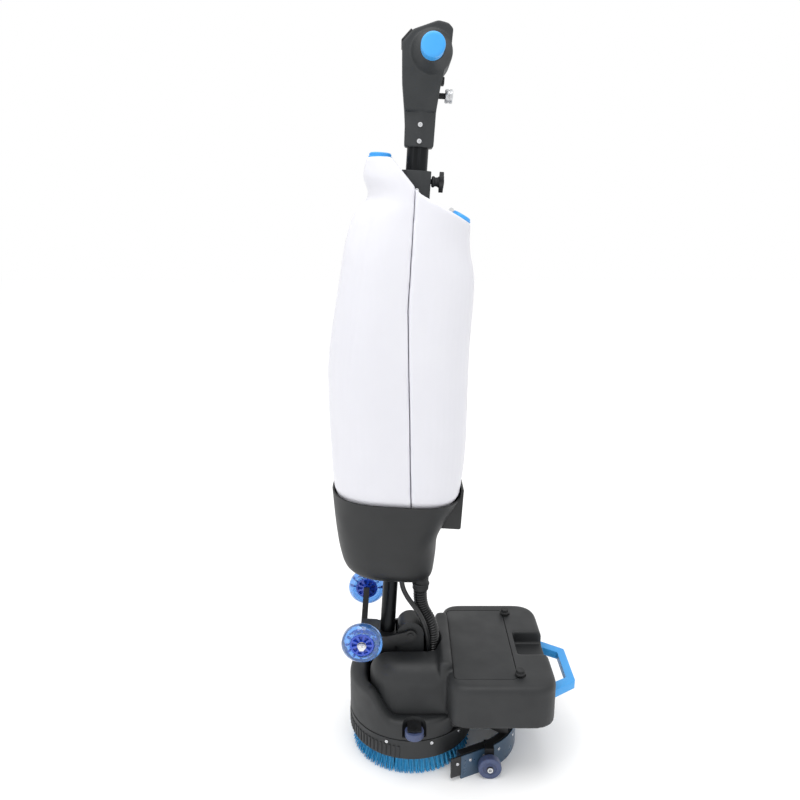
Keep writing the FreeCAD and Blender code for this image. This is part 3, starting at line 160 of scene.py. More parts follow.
def gather(*meshes):
    whole = meshes[0]
    for mesh in meshes[1:]:
        part = bpy.data.meshes.new("part")
        mesh.to_mesh(part)
        mesh.free()
        whole.from_mesh(part)
        bpy.data.meshes.remove(part)
    return whole


# a level rounded block whose top edge is rounded too
def softBlock(xLow, xHigh, half, zLow, zHigh, cornerFront, cornerRear, edge, steps=7):
    insets = [(0, zLow)]
    for step in range(steps + 1):
        angle = math.pi / 2 * step / steps
        insets.append((edge * (1 - math.cos(angle)), zHigh - edge + edge * math.sin(angle)))
    rings = []
    for inset, z in insets:
        front = max(cornerFront - inset, 1)
        rear = max(cornerRear - inset, 1)
        outline = roundCorners([
            (xLow + inset, -half + inset, front), (xHigh - inset, -half + inset, rear),
            (xHigh - inset, half - inset, rear), (xLow + inset, half - inset, front)], 0, 9)
        rings.append([(point.x, point.y, z) for point in outline])
    return loft(rings)


def newPiece(name, mesh, placing, material=None, sharp=38):
    bmesh.ops.remove_doubles(mesh, verts=mesh.verts, dist=1e-4)
    bmesh.ops.recalc_face_normals(mesh, faces=mesh.faces)
    mesh.transform(placing)
    data = bpy.data.meshes.new(name)
    mesh.to_mesh(data)
    mesh.free()
    item = bpy.data.objects.new(name, data)
    bpy.context.scene.collection.objects.link(item)
    if material:
        data.materials.append(material)
    shade(item, sharp)
    return item


def shade(item, sharp=38):
    item.data.polygons.foreach_set("use_smooth", [True] * len(item.data.polygons))
    item.data.set_sharp_from_angle(angle=math.radians(sharp))


# makes the modifiers' result the piece's own mesh
def settle(item, sharp=38):
    graph = bpy.context.evaluated_depsgraph_get()
    graph.update()
    result = bpy.data.meshes.new_from_object(item.evaluated_get(graph))
    item.modifiers.clear()
    old = item.data
    item.data = result
    result.name = item.name
    bpy.data.meshes.remove(old)
    shade(item, sharp)
    return item


def rounded(item, width, segments=3, sharp=38):
    bevel = item.modifiers.new("rounded", "BEVEL")
    bevel.width = width * mm
    bevel.segments = segments
    bevel.limit_method = "ANGLE"
    bevel.angle_limit = math.radians(32)
    return settle(item, sharp)


def carve(item, mesh, placing, operation="DIFFERENCE"):
    tool = newPiece("tool", mesh, placing)
    modifier = item.modifiers.new("carve", "BOOLEAN")
    modifier.operation = operation
    modifier.solver = "EXACT"
    modifier.object = tool
    settle(item)
    bpy.data.objects.remove(tool)
    return item


# runs solids into one moulded form with soft edges
def mould(item, voxel, passes, strength=0.5):
    remesh = item.modifiers.new("moulded", "REMESH")
    remesh.mode = "VOXEL"
    remesh.voxel_size = voxel * mm
    smooth = item.modifiers.new("softened", "SMOOTH")
    smooth.factor = strength
    smooth.iterations = passes
    return settle(item, 60)


def attach(item, body, slot, *nodes):
    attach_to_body(item, body)
    if nodes:
        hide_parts(*nodes)
    return item


# ---- repeats: one shape on every point of a carrier, turned by the point's own angles
def repeatTree():
    tree = bpy.data.node_groups.new("repeatedPiece", "GeometryNodeTree")
    sockets = [("Points", "Geometry"), ("Shape", "Object"), ("Finish", "Material"), ("Lean spread", "Float"),
               ("Size spread", "Float"), ("Seed", "Int")]
    for name, kind in sockets:
        tree.interface.new_socket(name, in_out="INPUT", socket_type="NodeSocket" + kind)
    tree.interface.new_socket("Result", in_out="OUTPUT", socket_type="NodeSocketGeometry")
    given = addNode(tree, "NodeGroupInput").outputs
    shape = addNode(tree, "GeometryNodeObjectInfo", {"Object": given["Shape"]})
    angles = addNode(tree, "GeometryNodeInputNamedAttribute", {"Name": "turn"}, data_type="FLOAT_VECTOR")
    turn = addNode(tree, "FunctionNodeEulerToRotation", {"Euler": angles.outputs["Attribute"]})
    negative = addNode(tree, "ShaderNodeMath", {0: given["Lean spread"], 1: -1.0}, operation="MULTIPLY")
    lean = addNode(tree, "FunctionNodeRandomValue",
                   {0: negative.outputs[0], 1: given["Lean spread"], "Seed": given["Seed"]},
                   data_type="FLOAT_VECTOR")
    leaning = addNode(tree, "FunctionNodeEulerToRotation", {"Euler": lean.outputs[0]})
    turned = addNode(tree, "FunctionNodeRotateRotation",
                     {"Rotation": turn.outputs[0], "Rotate By": leaning.outputs[0]}, rotation_space="LOCAL")
    smaller = addNode(tree, "ShaderNodeMath", {0: 1.0, 1: given["Size spread"]}, operation="SUBTRACT")
    size = addNode(tree, "FunctionNodeRandomValue", {2: smaller.outputs[0], 3: 1.0, "Seed": given["Seed"]},
                   data_type="FLOAT")
    placed = addNode(tree, "GeometryNodeInstanceOnPoints",
                     {"Points": given["Points"], "Instance": shape.outputs["Geometry"],
                      "Rotation": turned.outputs[0], "Scale": size.outputs[1]})
    real = addNode(tree, "GeometryNodeRealizeInstances", {"Geometry": placed.outputs[0]})
    finished = addNode(tree, "GeometryNodeSetMaterial",
                       {"Geometry": real.outputs[0], "Material": given["Finish"]})
    addNode(tree, "NodeGroupOutput", {0: finished.outputs[0]})
    return tree


def repeated(name, shape, places, placing, material, leanSpread=0.0, sizeSpread=0.0, seed=3):
    shapeItem = newPiece("shape", shape, Matrix.Scale(mm, 4), material)
    spots = [placing @ place for place in places]
    carrier = bpy.data.meshes.new(name)
    carrier.from_pydata([spot.translation for spot in spots], [], [])
    turns = carrier.attributes.new("turn", "FLOAT_VECTOR", "POINT")
    for index, spot in enumerate(spots):
        turns.data[index].vector = spot.to_euler()
    item = bpy.data.objects.new(name, carrier)
    bpy.context.scene.collection.objects.link(item)
    modifier = item.modifiers.new("repeated", "NODES")
    modifier.node_group = trees["repeat"]
    given = {"Shape": shapeItem, "Finish": material, "Lean spread": leanSpread, "Size spread": sizeSpread,
             "Seed": seed}
    for socket in trees["repeat"].interface.items_tree:
        if socket.in_out == "INPUT" and socket.name in given:
            modifier[socket.identifier] = given[socket.name]
    settle(item)
    bpy.data.objects.remove(shapeItem)
    return item


# ---- materials
def linear(hexColour):
    channels = [int(hexColour[at:at + 2], 16) / 255 for at in (1, 3, 5)]
    return tuple(c / 12.92 if c <= 0.04045 else ((c + 0.055) / 1.055) ** 2.4 for c in channels) + (1.0,)


def addNode(tree, kind, inputs=None, **settings):
    node = tree.nodes.new(kind)
    for name, setting in settings.items():
        setattr(node, name, setting)
    for socket, given in (inputs or {}).items():
        if isinstance(given, bpy.types.NodeSocket):
            tree.links.new(given, node.inputs[socket])
        else:
            node.inputs[socket].default_value = given
    return node


def newMaterial(name, colour, **sockets):
    material = bpy.data.materials.new(name)
    material.use_nodes = True
    tree = material.node_tree
    shader = tree.nodes["Principled BSDF"]
    shader.inputs["Base Color"].default_value = linear(colour)
    for socket, given in sockets.items():
        shader.inputs[socket.replace("_", " ")].default_value = given
    material.diffuse_color = linear(colour)
    return material, tree, shader


# slow change of tone, uneven gloss and a fine relief, each of a real size in millimetres
def addSurface(tree, shader, tones, toneSize, gloss, grainSize, grainDepth, stretch=(1, 1, 1)):
    place = addNode(tree, "ShaderNodeTexCoord").outputs["Object"]
    stretched = addNode(tree, "ShaderNodeMapping", {"Vector": place, "Scale": stretch}).outputs[0]
    clouds = addNode(tree, "ShaderNodeTexNoise",
                     {"Vector": stretched, "Scale": 1000 / toneSize, "Detail": 3.0, "Roughness": 0.55})
    tone = addNode(tree, "ShaderNodeMix",
                   {0: clouds.outputs["Fac"], 6: linear(tones[0]), 7: linear(tones[1])}, data_type="RGBA")
    tree.links.new(tone.outputs[2], shader.inputs["Base Color"])
    rub = addNode(tree, "ShaderNodeTexNoise",
                  {"Vector": stretched, "Scale": 2200 / toneSize, "Detail": 2.0})
    sheen = addNode(tree, "ShaderNodeMapRange",
                    {"Value": rub.outputs["Fac"], "From Min": 0.3, "From Max": 0.7,
                     "To Min": gloss[0], "To Max": gloss[1]})
    tree.links.new(sheen.outputs[0], shader.inputs["Roughness"])
    grain = addNode(tree, "ShaderNodeTexNoise",
                    {"Vector": stretched, "Scale": 1000 / grainSize, "Detail": 2.0})
    relief = addNode(tree, "ShaderNodeBump",
                     {"Height": grain.outputs["Fac"], "Strength": 0.6, "Distance": grainDepth * mm})
    tree.links.new(relief.outputs[0], shader.inputs["Normal"])
    return clouds


# ABS injection-moulded in a spark-eroded tool: a dull, very fine leather-like grain.
# The real grain is 0.4 mm, too fine to show, so it is drawn at 1.6 mm.
def makeTexturedAbs():
    material, tree, shader = newMaterial("texturedBlackAbs", "#17191b", IOR=1.53)
    addSurface(tree, shader, ("#131517", "#1c1e20"), 90, (0.5, 0.62), 1.6, 0.12)
    return material


# the same ABS with a finer polish on the column's base, nearly black
def makeSatinAbs():
    material, tree, shader = newMaterial("satinBlackAbs", "#0c0e10", IOR=1.53)
    addSurface(tree, shader, ("#0a0c0e", "#101214"), 120, (0.46, 0.58), 1.6, 0.08)
    return material


# glass-filled nylon of the handle: mid grey-black with a matt skin
def makeHandleNylon():
    material, tree, shader = newMaterial("greyGlassNylon", "#212426", IOR=1.53)
    addSurface(tree, shader, ("#1d2022", "#282b2d"), 60, (0.55, 0.68), 1.4, 0.14)
    return material


# blow-moulded natural polyethylene: milky, waxy, light passes into the wall
def makeMilkyPolyethylene():
    material, tree, shader = newMaterial(
        "milkyPolyethylene", "#d9d9e1", IOR=1.51, Subsurface_Weight=0.35, Subsurface_Scale=0.012)
    shader.inputs["Subsurface Radius"].default_value = (1.0, 1.0, 1.1)
    addSurface(tree, shader, ("#d4d4dd", "#dfdfe6"), 160, (0.36, 0.48), 5.0, 0.05)
    return material


# sky-blue polypropylene for what the hand takes hold of, lightly polished
def makeBluePolypropylene():
    material, tree, shader = newMaterial("skyBluePolypropylene", "#3a9be0", IOR=1.49)
    addSurface(tree, shader, ("#2f93dc", "#45a5e8"), 40, (0.34, 0.46), 1.5, 0.05)
    return material


# nylon bristle: bright blue filament, with darker patches in random places as painted shade for where the
# tufts stand close
def makeBlueBristle():
    material, tree, shader = newMaterial("blueNylonBristle", "#2492cd", IOR=1.53)
    # the darker of the two tones is painted shade between crowded tufts, scattered by noise rather than
    # placed at them
    addSurface(tree, shader, ("#187fbb", "#50bcec"), 7, (0.35, 0.5), 1.2, 0.1)
    return material


# clear cast polyurethane of a scooter wheel, tinted blue and polished by its mould
def makeClearBlueUrethane():
    material, tree, shader = newMaterial(
        "clearBlueUrethane", "#5aa2f4", IOR=1.5, Transmission_Weight=0.82, Coat_Weight=0.6)
    shader.inputs["Coat Roughness"].default_value = 0.05
    addSurface(tree, shader, ("#4a94f0", "#86bdfa"), 18, (0.04, 0.12), 6.0, 0.08)
    return material


# deep blue polycarbonate core of the same wheel
def makeBluePolycarbonate():
    material, tree, shader = newMaterial("deepBluePolycarbonate", "#0f3fc0", IOR=1.58)
    addSurface(tree, shader, ("#0a319c", "#1f55d8"), 12, (0.18, 0.3), 2.0, 0.06)
    shader.inputs["Coat Weight"].default_value = 0.4
    return material


# solid polyurethane of rollers and casters: grey-blue, slightly cloudy, satin from wear
def makeGreyBlueUrethane():
    material, tree, shader = newMaterial(
        "greyBlueUrethane", "#424d70", IOR=1.5, Subsurface_Weight=0.08, Subsurface_Scale=0.004)
    addSurface(tree, shader, ("#394363", "#4b5678"), 9, (0.38, 0.55), 1.8, 0.12)
    return material


# squeegee blade, cast urethane sheet: smoky blue, light shows through its thin edge
def makeBladeUrethane():
    material, tree, shader = newMaterial(
        "smokyBlueBladeUrethane", "#3b5570", IOR=1.5, Transmission_Weight=0.35)
    addSurface(tree, shader, ("#32495f", "#4c6a88"), 30, (0.25, 0.4), 3.0, 0.05)
    return material


# mild steel with a baked black powder coat: faint orange peel
def makePowderSteel():
    material, tree, shader = newMaterial("blackPowderCoatedSteel", "#101112", IOR=1.5)
    addSurface(tree, shader, ("#0d0e0f", "#17181a"), 45, (0.34, 0.5), 2.4, 0.1)
    return material


# black anodised aluminium tube, drawn, so its fine lines run along it
def makeAnodisedTube():
    material, tree, shader = newMaterial("blackAnodisedAluminium", "#1c1d1f", Metallic=0.85)
    addSurface(tree, shader, ("#151617", "#26282a"), 14, (0.28, 0.42), 1.5, 0.04, (1, 1, 0.03))
    return material


# zinc-plated screws, nuts and bearings: bright, faintly streaked
def makeZincSteel():
    material, tree, shader = newMaterial("zincPlatedSteel", "#d9dbdd", Metallic=1.0)
    addSurface(tree, shader, ("#c4c7ca", "#ececee"), 4, (0.12, 0.3), 0.8, 0.03)
    return material


# turned aluminium of the speed dial
def makeTurnedAluminium():
    material, tree, shader = newMaterial("turnedAluminium", "#c9cacb", Metallic=1.0)
    addSurface(tree, shader, ("#b6b7b9", "#dedfe0"), 5, (0.24, 0.38), 0.9, 0.05)
    return material


# plasticised PVC of the suction hose, extruded: black with a slight gloss on the crests
def makeHosePvc():
    material, tree, shader = newMaterial("blackHosePvc", "#121314", IOR=1.53)
    addSurface(tree, shader, ("#0e0f10", "#1c1d1f"), 20, (0.26, 0.4), 1.4, 0.06)
    return material


# nitrile rubber and dull black fittings
def makeBlackRubber():
    material, tree, shader = newMaterial("blackNitrileRubber", "#151617", IOR=1.52)
    addSurface(tree, shader, ("#101112", "#1d1e20"), 30, (0.6, 0.75), 1.5, 0.1)
    return material


# raw gearmotor and pack housings inside the covers, grey die-cast skin
def makeCastAluminium():
    material, tree, shader = newMaterial("greyCastAluminium", "#5c5f63", Metallic=0.7)
    addSurface(tree, shader, ("#4d5054", "#6b6e72"), 25, (0.42, 0.6), 1.5, 0.12)
    return material


# glass-fibre circuit board under green solder resist
def makeCircuitBoard():
    material, tree, shader = newMaterial("greenSolderResist", "#14502f", IOR=1.5)
    addSurface(tree, shader, ("#10452a", "#1a6039"), 6, (0.25, 0.4), 1.2, 0.08)
    return material


trees = {"repeat": repeatTree()}
textured = makeTexturedAbs()
satin = makeSatinAbs()
nylon = makeHandleNylon()
milky = makeMilkyPolyethylene()
skyBlue = makeBluePolypropylene()
bristleBlue = makeBlueBristle()
clearBlue = makeClearBlueUrethane()
deepBlue = makeBluePolycarbonate()
greyBlue = makeGreyBlueUrethane()
bladeBlue = makeBladeUrethane()
powderSteel = makePowderSteel()
anodised = makeAnodisedTube()
zinc = makeZincSteel()
turned = makeTurnedAluminium()
hosePvc = makeHosePvc()
rubber = makeBlackRubber()
castMetal = makeCastAluminium()
boardGreen = makeCircuitBoard()
print("materials ready")

# ---- head cover: dome, ridge and battery box moulded in one
cover = {
    "dome": (-76, 92, 87, 78, 198), "domeCorner": 62, "domeShoulder": 36,
    "box": (62, 248, 140, 117, 195), "boxCorner": 44, "boxFrontCorner": 38, "boxEdge": 12,
    "ridge": (47, 72, 88, 170, 209), "ridgeEdge": 9,
    "wellHalf": 32, "wellRear": 55, "wellFloor": 112,
    "recess": (192, 36, 170),          # front, half-width and floor of the rear hand recess
    "lid": (72, 181, 112), "lidCorner": 12, "seatDepth": 3.6, "seatGap": 1.3, "rebate": 6,
    "bay": (65, 186, 134, 120, 188), "underside": (189, 245, 96, 164),
    "voxel": 2.1, "softPasses": 9,
}


def wellOutline(grow, front):
    half = cover["wellHalf"] + grow
    rear = cover["wellRear"] + grow
    return roundCorners([(front, -half, 0.1), (rear, -half), (rear, half), (front, half, 0.1)], half, 12)


def makeCover():
    c = cover
    xLow, xHigh, half, low, top = c["dome"]
    dome = softBlock(xLow, xHigh, half, low, top, c["domeCorner"], 2, c["domeShoulder"])
    bx, bX, bHalf, bLow, bTop = c["box"]
    tub = softBlock(bx, bX, bHalf, bLow, bTop, c["boxFrontCorner"], c["boxCorner"], c["boxEdge"])
    rx, rX, rHalf, rLow, rTop = c["ridge"]
    ridge = softBlock(rx, rX, rHalf, rLow, rTop, 10, 10, c["ridgeEdge"])
    item = newPiece("headCover", gather(dome, tub, ridge), headFrame, textured)
    mould(item, c["voxel"], 0)
    carve(item, prism(wellOutline(0, xLow - 20), c["wellFloor"], top + 40), headFrame)
    recessX, recessHalf, recessFloor = c["recess"]
    carve(item, block((recessX, -recessHalf, recessFloor), (bX + 20, recessHalf, bTop + 20)), headFrame)
    mould(item, c["voxel"], c["softPasses"])
    lidX, lidX2, lidHalf = c["lid"]
    gap = c["seatGap"]
    seat = roundCorners([(lidX - gap, -lidHalf - gap), (lidX2 + gap, -lidHalf - gap),
                         (lidX2 + gap, lidHalf + gap), (lidX - gap, lidHalf + gap)], c["lidCorner"], 8)
    carve(item, prism(seat, bTop - c["seatDepth"], bTop + 20), headFrame)
    for node in ("lid_knob_near", "lid_knob_far"):
        knobLow, knobHigh = localBox(node, headFrame)
        middle = (knobLow + knobHigh) / 2
        carve(item, rod((middle.x, middle.y, bTop - c["seatDepth"]), 10.2, 20), headFrame)
        carve(item, rod((middle.x, middle.y, bTop - 12), 4.8, 20), headFrame)
    bayX, bayX2, bayHalf, bayLow, bayHigh = c["bay"]
    corner = c["boxFrontCorner"] - 3
    bay = roundCorners([(bayX, -bayHalf, corner), (bayX2, -bayHalf, 4), (bayX2, bayHalf, 4),
                        (bayX, bayHalf, corner)], 4, 9)
    carve(item, prism(bay, bayLow, bayHigh), headFrame)
    rim = c["rebate"]
    mouth = block((lidX + rim, -lidHalf + rim, bayHigh - 2), (lidX2 - rim, lidHalf - rim, bTop))
    carve(item, mouth, headFrame)
    wall = 3
    hollow = softBlock(xLow + wall, 60, half - wall, low - 9, top - wall, c["domeCorner"] - wall, 2,
                       c["domeShoulder"] - wall)
    inner = newPiece("inner", hollow, headFrame)
    carve(inner, prism(wellOutline(wall, xLow - 20), c["wellFloor"] - wall, top), headFrame)
    modifier = item.modifiers.new("hollow", "BOOLEAN")
    modifier.operation = "DIFFERENCE"
    modifier.solver = "EXACT"
    modifier.object = inner
    settle(item, 55)
    bpy.data.objects.remove(inner)
    hollowX, hollowX2, hollowHalf, hollowTop = c["underside"]
    carve(item, block((hollowX, -hollowHalf, bLow - 5), (hollowX2, hollowHalf, hollowTop)), headFrame)
    shade(item, 50)
    return attach(item, "head", "dark_shell", "head_dome", "battery_box")


# ---- fender: a fat rolled edge that follows the dome and stands up as a nose in front
fender = {
    "outer": 114.0, "foot": 72.5, "side": 107.0, "nose": 153.0, "slit": 5.0,
    "roundOuter": 17.0, "roundInner": 11.0, "end": 47.0, "noseStart": 108.0, "noseFull": 136.0,
    "rollerPocket": 21.5, "steps": 150,
}


def easeBetween(value, start, end):
    t = min(max((value - start) / (end - start), 0), 1)
    return t * t * (3 - 2 * t)


# distance from the brush axis to the dome's wall in a direction
def domeReach(angle):
    xLow, _, half, _, _ = cover["dome"]
    corner = cover["domeCorner"]
    ax, ay = abs(math.sin(angle)), -math.cos(angle)      # sideways and forward shares
    reach = half / ax if ax > 1e-6 else 1e9
    if ay > 0:
        reach = min(reach, -xLow / ay)
    cx, cy = -xLow - corner, half - corner
    px, py = reach * ay, reach * ax
    if px > cx and py > cy:
        along = ay * cx + ax * cy
        reach = along + math.sqrt(max(along ** 2 - (cx ** 2 + cy ** 2) + corner ** 2, 0))
    return reach


def makeFender():
    f = fender
    rings = []
    for step in range(f["steps"] + 1):
        turn = f["end"] + (360 - 2 * f["end"]) * step / f["steps"]
        angle = math.radians(turn)
        fromEnd = min(turn, 360 - turn)
        noseShare = easeBetween(fromEnd, f["noseStart"], f["noseFull"])
        top = f["side"] + (f["nose"] - f["side"]) * noseShare
        inner = domeReach(angle) + f["slit"] * noseShare - 4 * (1 - noseShare)
        inner = min(inner, f["outer"] - 14)
        section = roundCorners([
            (f["outer"], f["foot"], 1.5), (f["outer"], top, f["roundOuter"]),
            (inner, top, f["roundInner"]), (inner, f["foot"] + 7, 1.5)], 2, 7)
        arc = math.radians(fromEnd - f["end"]) * f["outer"]
        swell = math.sqrt(max(1 - (1 - min(arc / 20, 1)) ** 2, 0.002))
        centre = Vector(((f["outer"] + inner) / 2, f["foot"] + 6))
        ring = []
        for point in section:
            spot = centre + (point - centre) * swell
            ring.append((spot.x * math.cos(angle), spot.x * math.sin(angle), spot.y))
        rings.append(ring)
    item = newPiece("fenderRoll", loft(rings), headFrame, textured, 60)
    for node in ("guide_roller_near", "guide_roller_far"):
        low, high = localBox(node, headFrame)
        middle = (low + high) / 2
        carve(item, rod((middle.x, middle.y, f["foot"] + 6.5), f["rollerPocket"], 60), headFrame)
    rounded(item, 1.2, 2, 50)
    return attach(item, "head", "dark_shell", "fender_ring")


# ---- skirt with its ribs and bead
skirt = {"radius": 114.0, "inner": 102.0, "wall": 3.5, "low": 35.0, "high": 72.0, "ribPitch": 8.2,
         "ribLow": 38.0, "ribHigh": 60.0, "ribFrom": 100, "ribTo": 260, "screwTurns": (-113, -72.5, -42.5)}


def turnedAt(radius, degrees, z, tip=0):
    return (Matrix.Rotation(math.radians(degrees), 4, "Z") @ Matrix.Translation((radius, 0, z))
            @ Matrix.Rotation(math.radians(tip), 4, "Y"))


def makeSkirt():
    s = skirt
    r, w, high, inner = s["radius"], s["wall"], s["high"], s["inner"]
    ring = roundCorners([
        (r - w, s["low"]), (r, s["low"]), (r, high - 2.2), (r + 0.7, high - 1.8), (r + 0.7, high),
        (inner, high), (inner, high - w), (r - w, high - w)], 0.8, 3)
    item = newPiece("skirtRing", spin(ring, 144, closed=True), headFrame, textured)
    attach(item, "head", "dark_shell", "skirt_ring")
    count = int(math.radians(s["ribTo"] - s["ribFrom"]) * r / s["ribPitch"])
    rib = prism(roundCorners([(-1, -2.3), (1.3, -2.3), (1.3, 2.3), (-1, 2.3)], 0.7, 3), 0,
                s["ribHigh"] - s["ribLow"])
    places = []
    for step in range(count):
        turn = s["ribFrom"] + (s["ribTo"] - s["ribFrom"]) * (step + 0.5) / count
        places.append(turnedAt(r, turn, s["ribLow"]))
    ribs = repeated("skirtRibs", rib, places, headFrame, textured)
    attach(ribs, "head", "dark_shell")


# a cheese-head screw with a slot, its head standing on z = 0
def screwShape(radius=3.6, height=2.2):
    head = spin([(0, 0), (radius, 0), (radius, height * 0.7), (radius * 0.9, height),
                 (radius * 0.45, height), (radius * 0.35, height * 0.55), (0, height * 0.55)], 20)
    bars = []
    for turn in (0, math.pi / 2):
        bar = block((-radius * 0.36, -0.35, height * 0.5), (radius * 0.36, 0.35, height * 0.9))
        bar.transform(Matrix.Rotation(turn, 4, "Z"))
        bars.append(bar)
    return gather(head, *bars)


def makeScrews():
    s = skirt
    places = []
    for turn in s["screwTurns"]:
        for side in (1, -1):
            places.append(turnedAt(s["radius"] + 0.2, side * turn, 65.5, 90))
    skirtScrews = repeated("skirtScrews", screwShape(3.1, 1.6), places, headFrame, zinc)
    attach(skirtScrews, "head", "bright_steel")
    low, high = localBox("handle_screws", columnFrame)
    faceOut = {-1: Matrix.Rotation(math.pi / 2, 4, "X"), 1: Matrix.Rotation(-math.pi / 2, 4, "X")}
    places = []
    for side, y in ((-1, low.y + 2.2), (1, high.y - 2.2)):
        for z in (low.z + 3.6, high.z - 3.6):
            places.append(Matrix.Translation(((low.x + high.x) / 2, y, z)) @ faceOut[side])
    neckScrews = repeated("neckScrews", screwShape(3.9, 2.1), places, columnFrame, zinc)
    attach(neckScrews, "handle", "bright_steel", "handle_screws")


# ---- brush: tufts of fine filament in four rings
brush = {"length": 44.0, "rings": ((92.5, 68), (82, 60), (71, 50), (59, 40)), "strands": 22, "spread": 4.4,
         "splay": 9.5, "filament": 0.6}


def makeBrush():
    b = brush
    chance = random.Random(11)
    tuft = bmesh.new()
    for _ in range(b["strands"]):
        angle = chance.uniform(0, 2 * math.pi)
        reach = b["spread"] * math.sqrt(chance.random())
        x, y = reach * math.cos(angle), reach * math.sin(angle)
        flare = 1.5 + chance.uniform(-0.1, 0.25)
        spine = [Vector((x * 0.55, y * 0.55, b["length"] + 1)),
                 Vector((x + b["splay"] * 0.4, y, b["length"] * 0.5)),
                 Vector((x * flare + b["splay"], y * flare, chance.uniform(0, 1.6)))]
        rings = []
        for point in spine:
            ring = []
            for corner in range(3):
                turn = 2 * math.pi * corner / 3 + angle
                offset = Vector((b["filament"] * math.cos(turn), b["filament"] * math.sin(turn), 0))
                ring.append(tuft.verts.new(point + offset))
            rings.append(ring)
        for lower, upper in zip(rings, rings[1:]):
            for corner in range(3):
                after = (corner + 1) % 3
                tuft.faces.new((lower[corner], upper[corner], upper[after], lower[after]))
        tuft.faces.new(rings[0])
        tuft.faces.new(rings[-1][::-1])
    places = []
    for radius, count in b["rings"]:
        for step in range(count):
            places.append(turnedAt(radius, 360 * step / count + chance.uniform(-0.8, 0.8), 0))
    item = repeated("brushTufts", tuft, places, headFrame, bristleBlue, 0.035, 0.03)
    return attach(item, "brush", "bristle_blue", "brush_bristles", "brush_bristles_carrying")


# ---- lid with round corners, and its two-step knobs
def makeLid():
    c = cover
    lidX, lidX2, lidHalf = c["lid"]
    top = c["box"][4] + 0.2
    plate = prism(roundCorners([(lidX, -lidHalf), (lidX2, -lidHalf), (lidX2, lidHalf), (lidX, lidHalf)],
                               c["lidCorner"] - 1.5, 8), top - 3, top)
    item = newPiece("batteryLid", plate, headFrame, textured)
    rounded(item, 1.0, 3)
    for node in ("lid_knob_near", "lid_knob_far"):
        low, high = localBox(node, headFrame)
        middle = (low + high) / 2
        carve(item, rod((middle.x, middle.y, top - 8), 3.1, 20), headFrame)
    attach(item, "lid", "dark_shell", "battery_lid")
    for node, body in (("lid_knob_near", "knob_near"), ("lid_knob_far", "knob_far")):
        low, high = localBox(node, headFrame)
        middle = (low + high) / 2
        foot = c["box"][4]
        profile = roundCorners([(0.001, low.z), (3, low.z), (3, foot + 0.3), (9, foot + 0.3), (9, foot + 4.6),
                                (7.2, foot + 5.4), (7.4, high.z), (0.001, high.z)], 1.0, 3)
        grip = laid(spin([(0, low.z)] + [tuple(p) for p in profile] + [(0, high.z)], 40),
                    (middle.x, middle.y, 0))
        knob = newPiece(node.replace("_", "") + "Grip", grip, headFrame, rubber)
        attach(knob, body, "black_plastic", node)


# ---- rear carrying loop
loop = {"rootHalf": 83, "barHalf": 50, "root": 246, "out": 295.5, "band": 15, "z": 141, "thick": 15}


def makeLoop():
    p = loop
    b = p["band"]
    outer = roundCorners([(p["root"], -p["rootHalf"], 1), (p["out"], -p["barHalf"]), (p["out"], p["barHalf"]),
                          (p["root"], p["rootHalf"], 1)], 7, 5)
    rootInside, barInside = p["rootHalf"] - 1.2 * b, p["barHalf"] - 0.7 * b
    hole = roundCorners([(p["root"] - 8, -rootInside, 1), (p["out"] - b, -barInside),
                         (p["out"] - b, barInside), (p["root"] - 8, rootInside, 1)], 5, 5)
    item = newPiece("rearLoop", prism(outer, p["z"] - p["thick"] / 2, p["z"] + p["thick"] / 2), headFrame,
                    skyBlue)
    carve(item, prism(hole, p["z"] - 20, p["z"] + 20), headFrame)
    rounded(item, 2.4, 3)
    return attach(item, "head", "blue_plastic", "rear_handle")


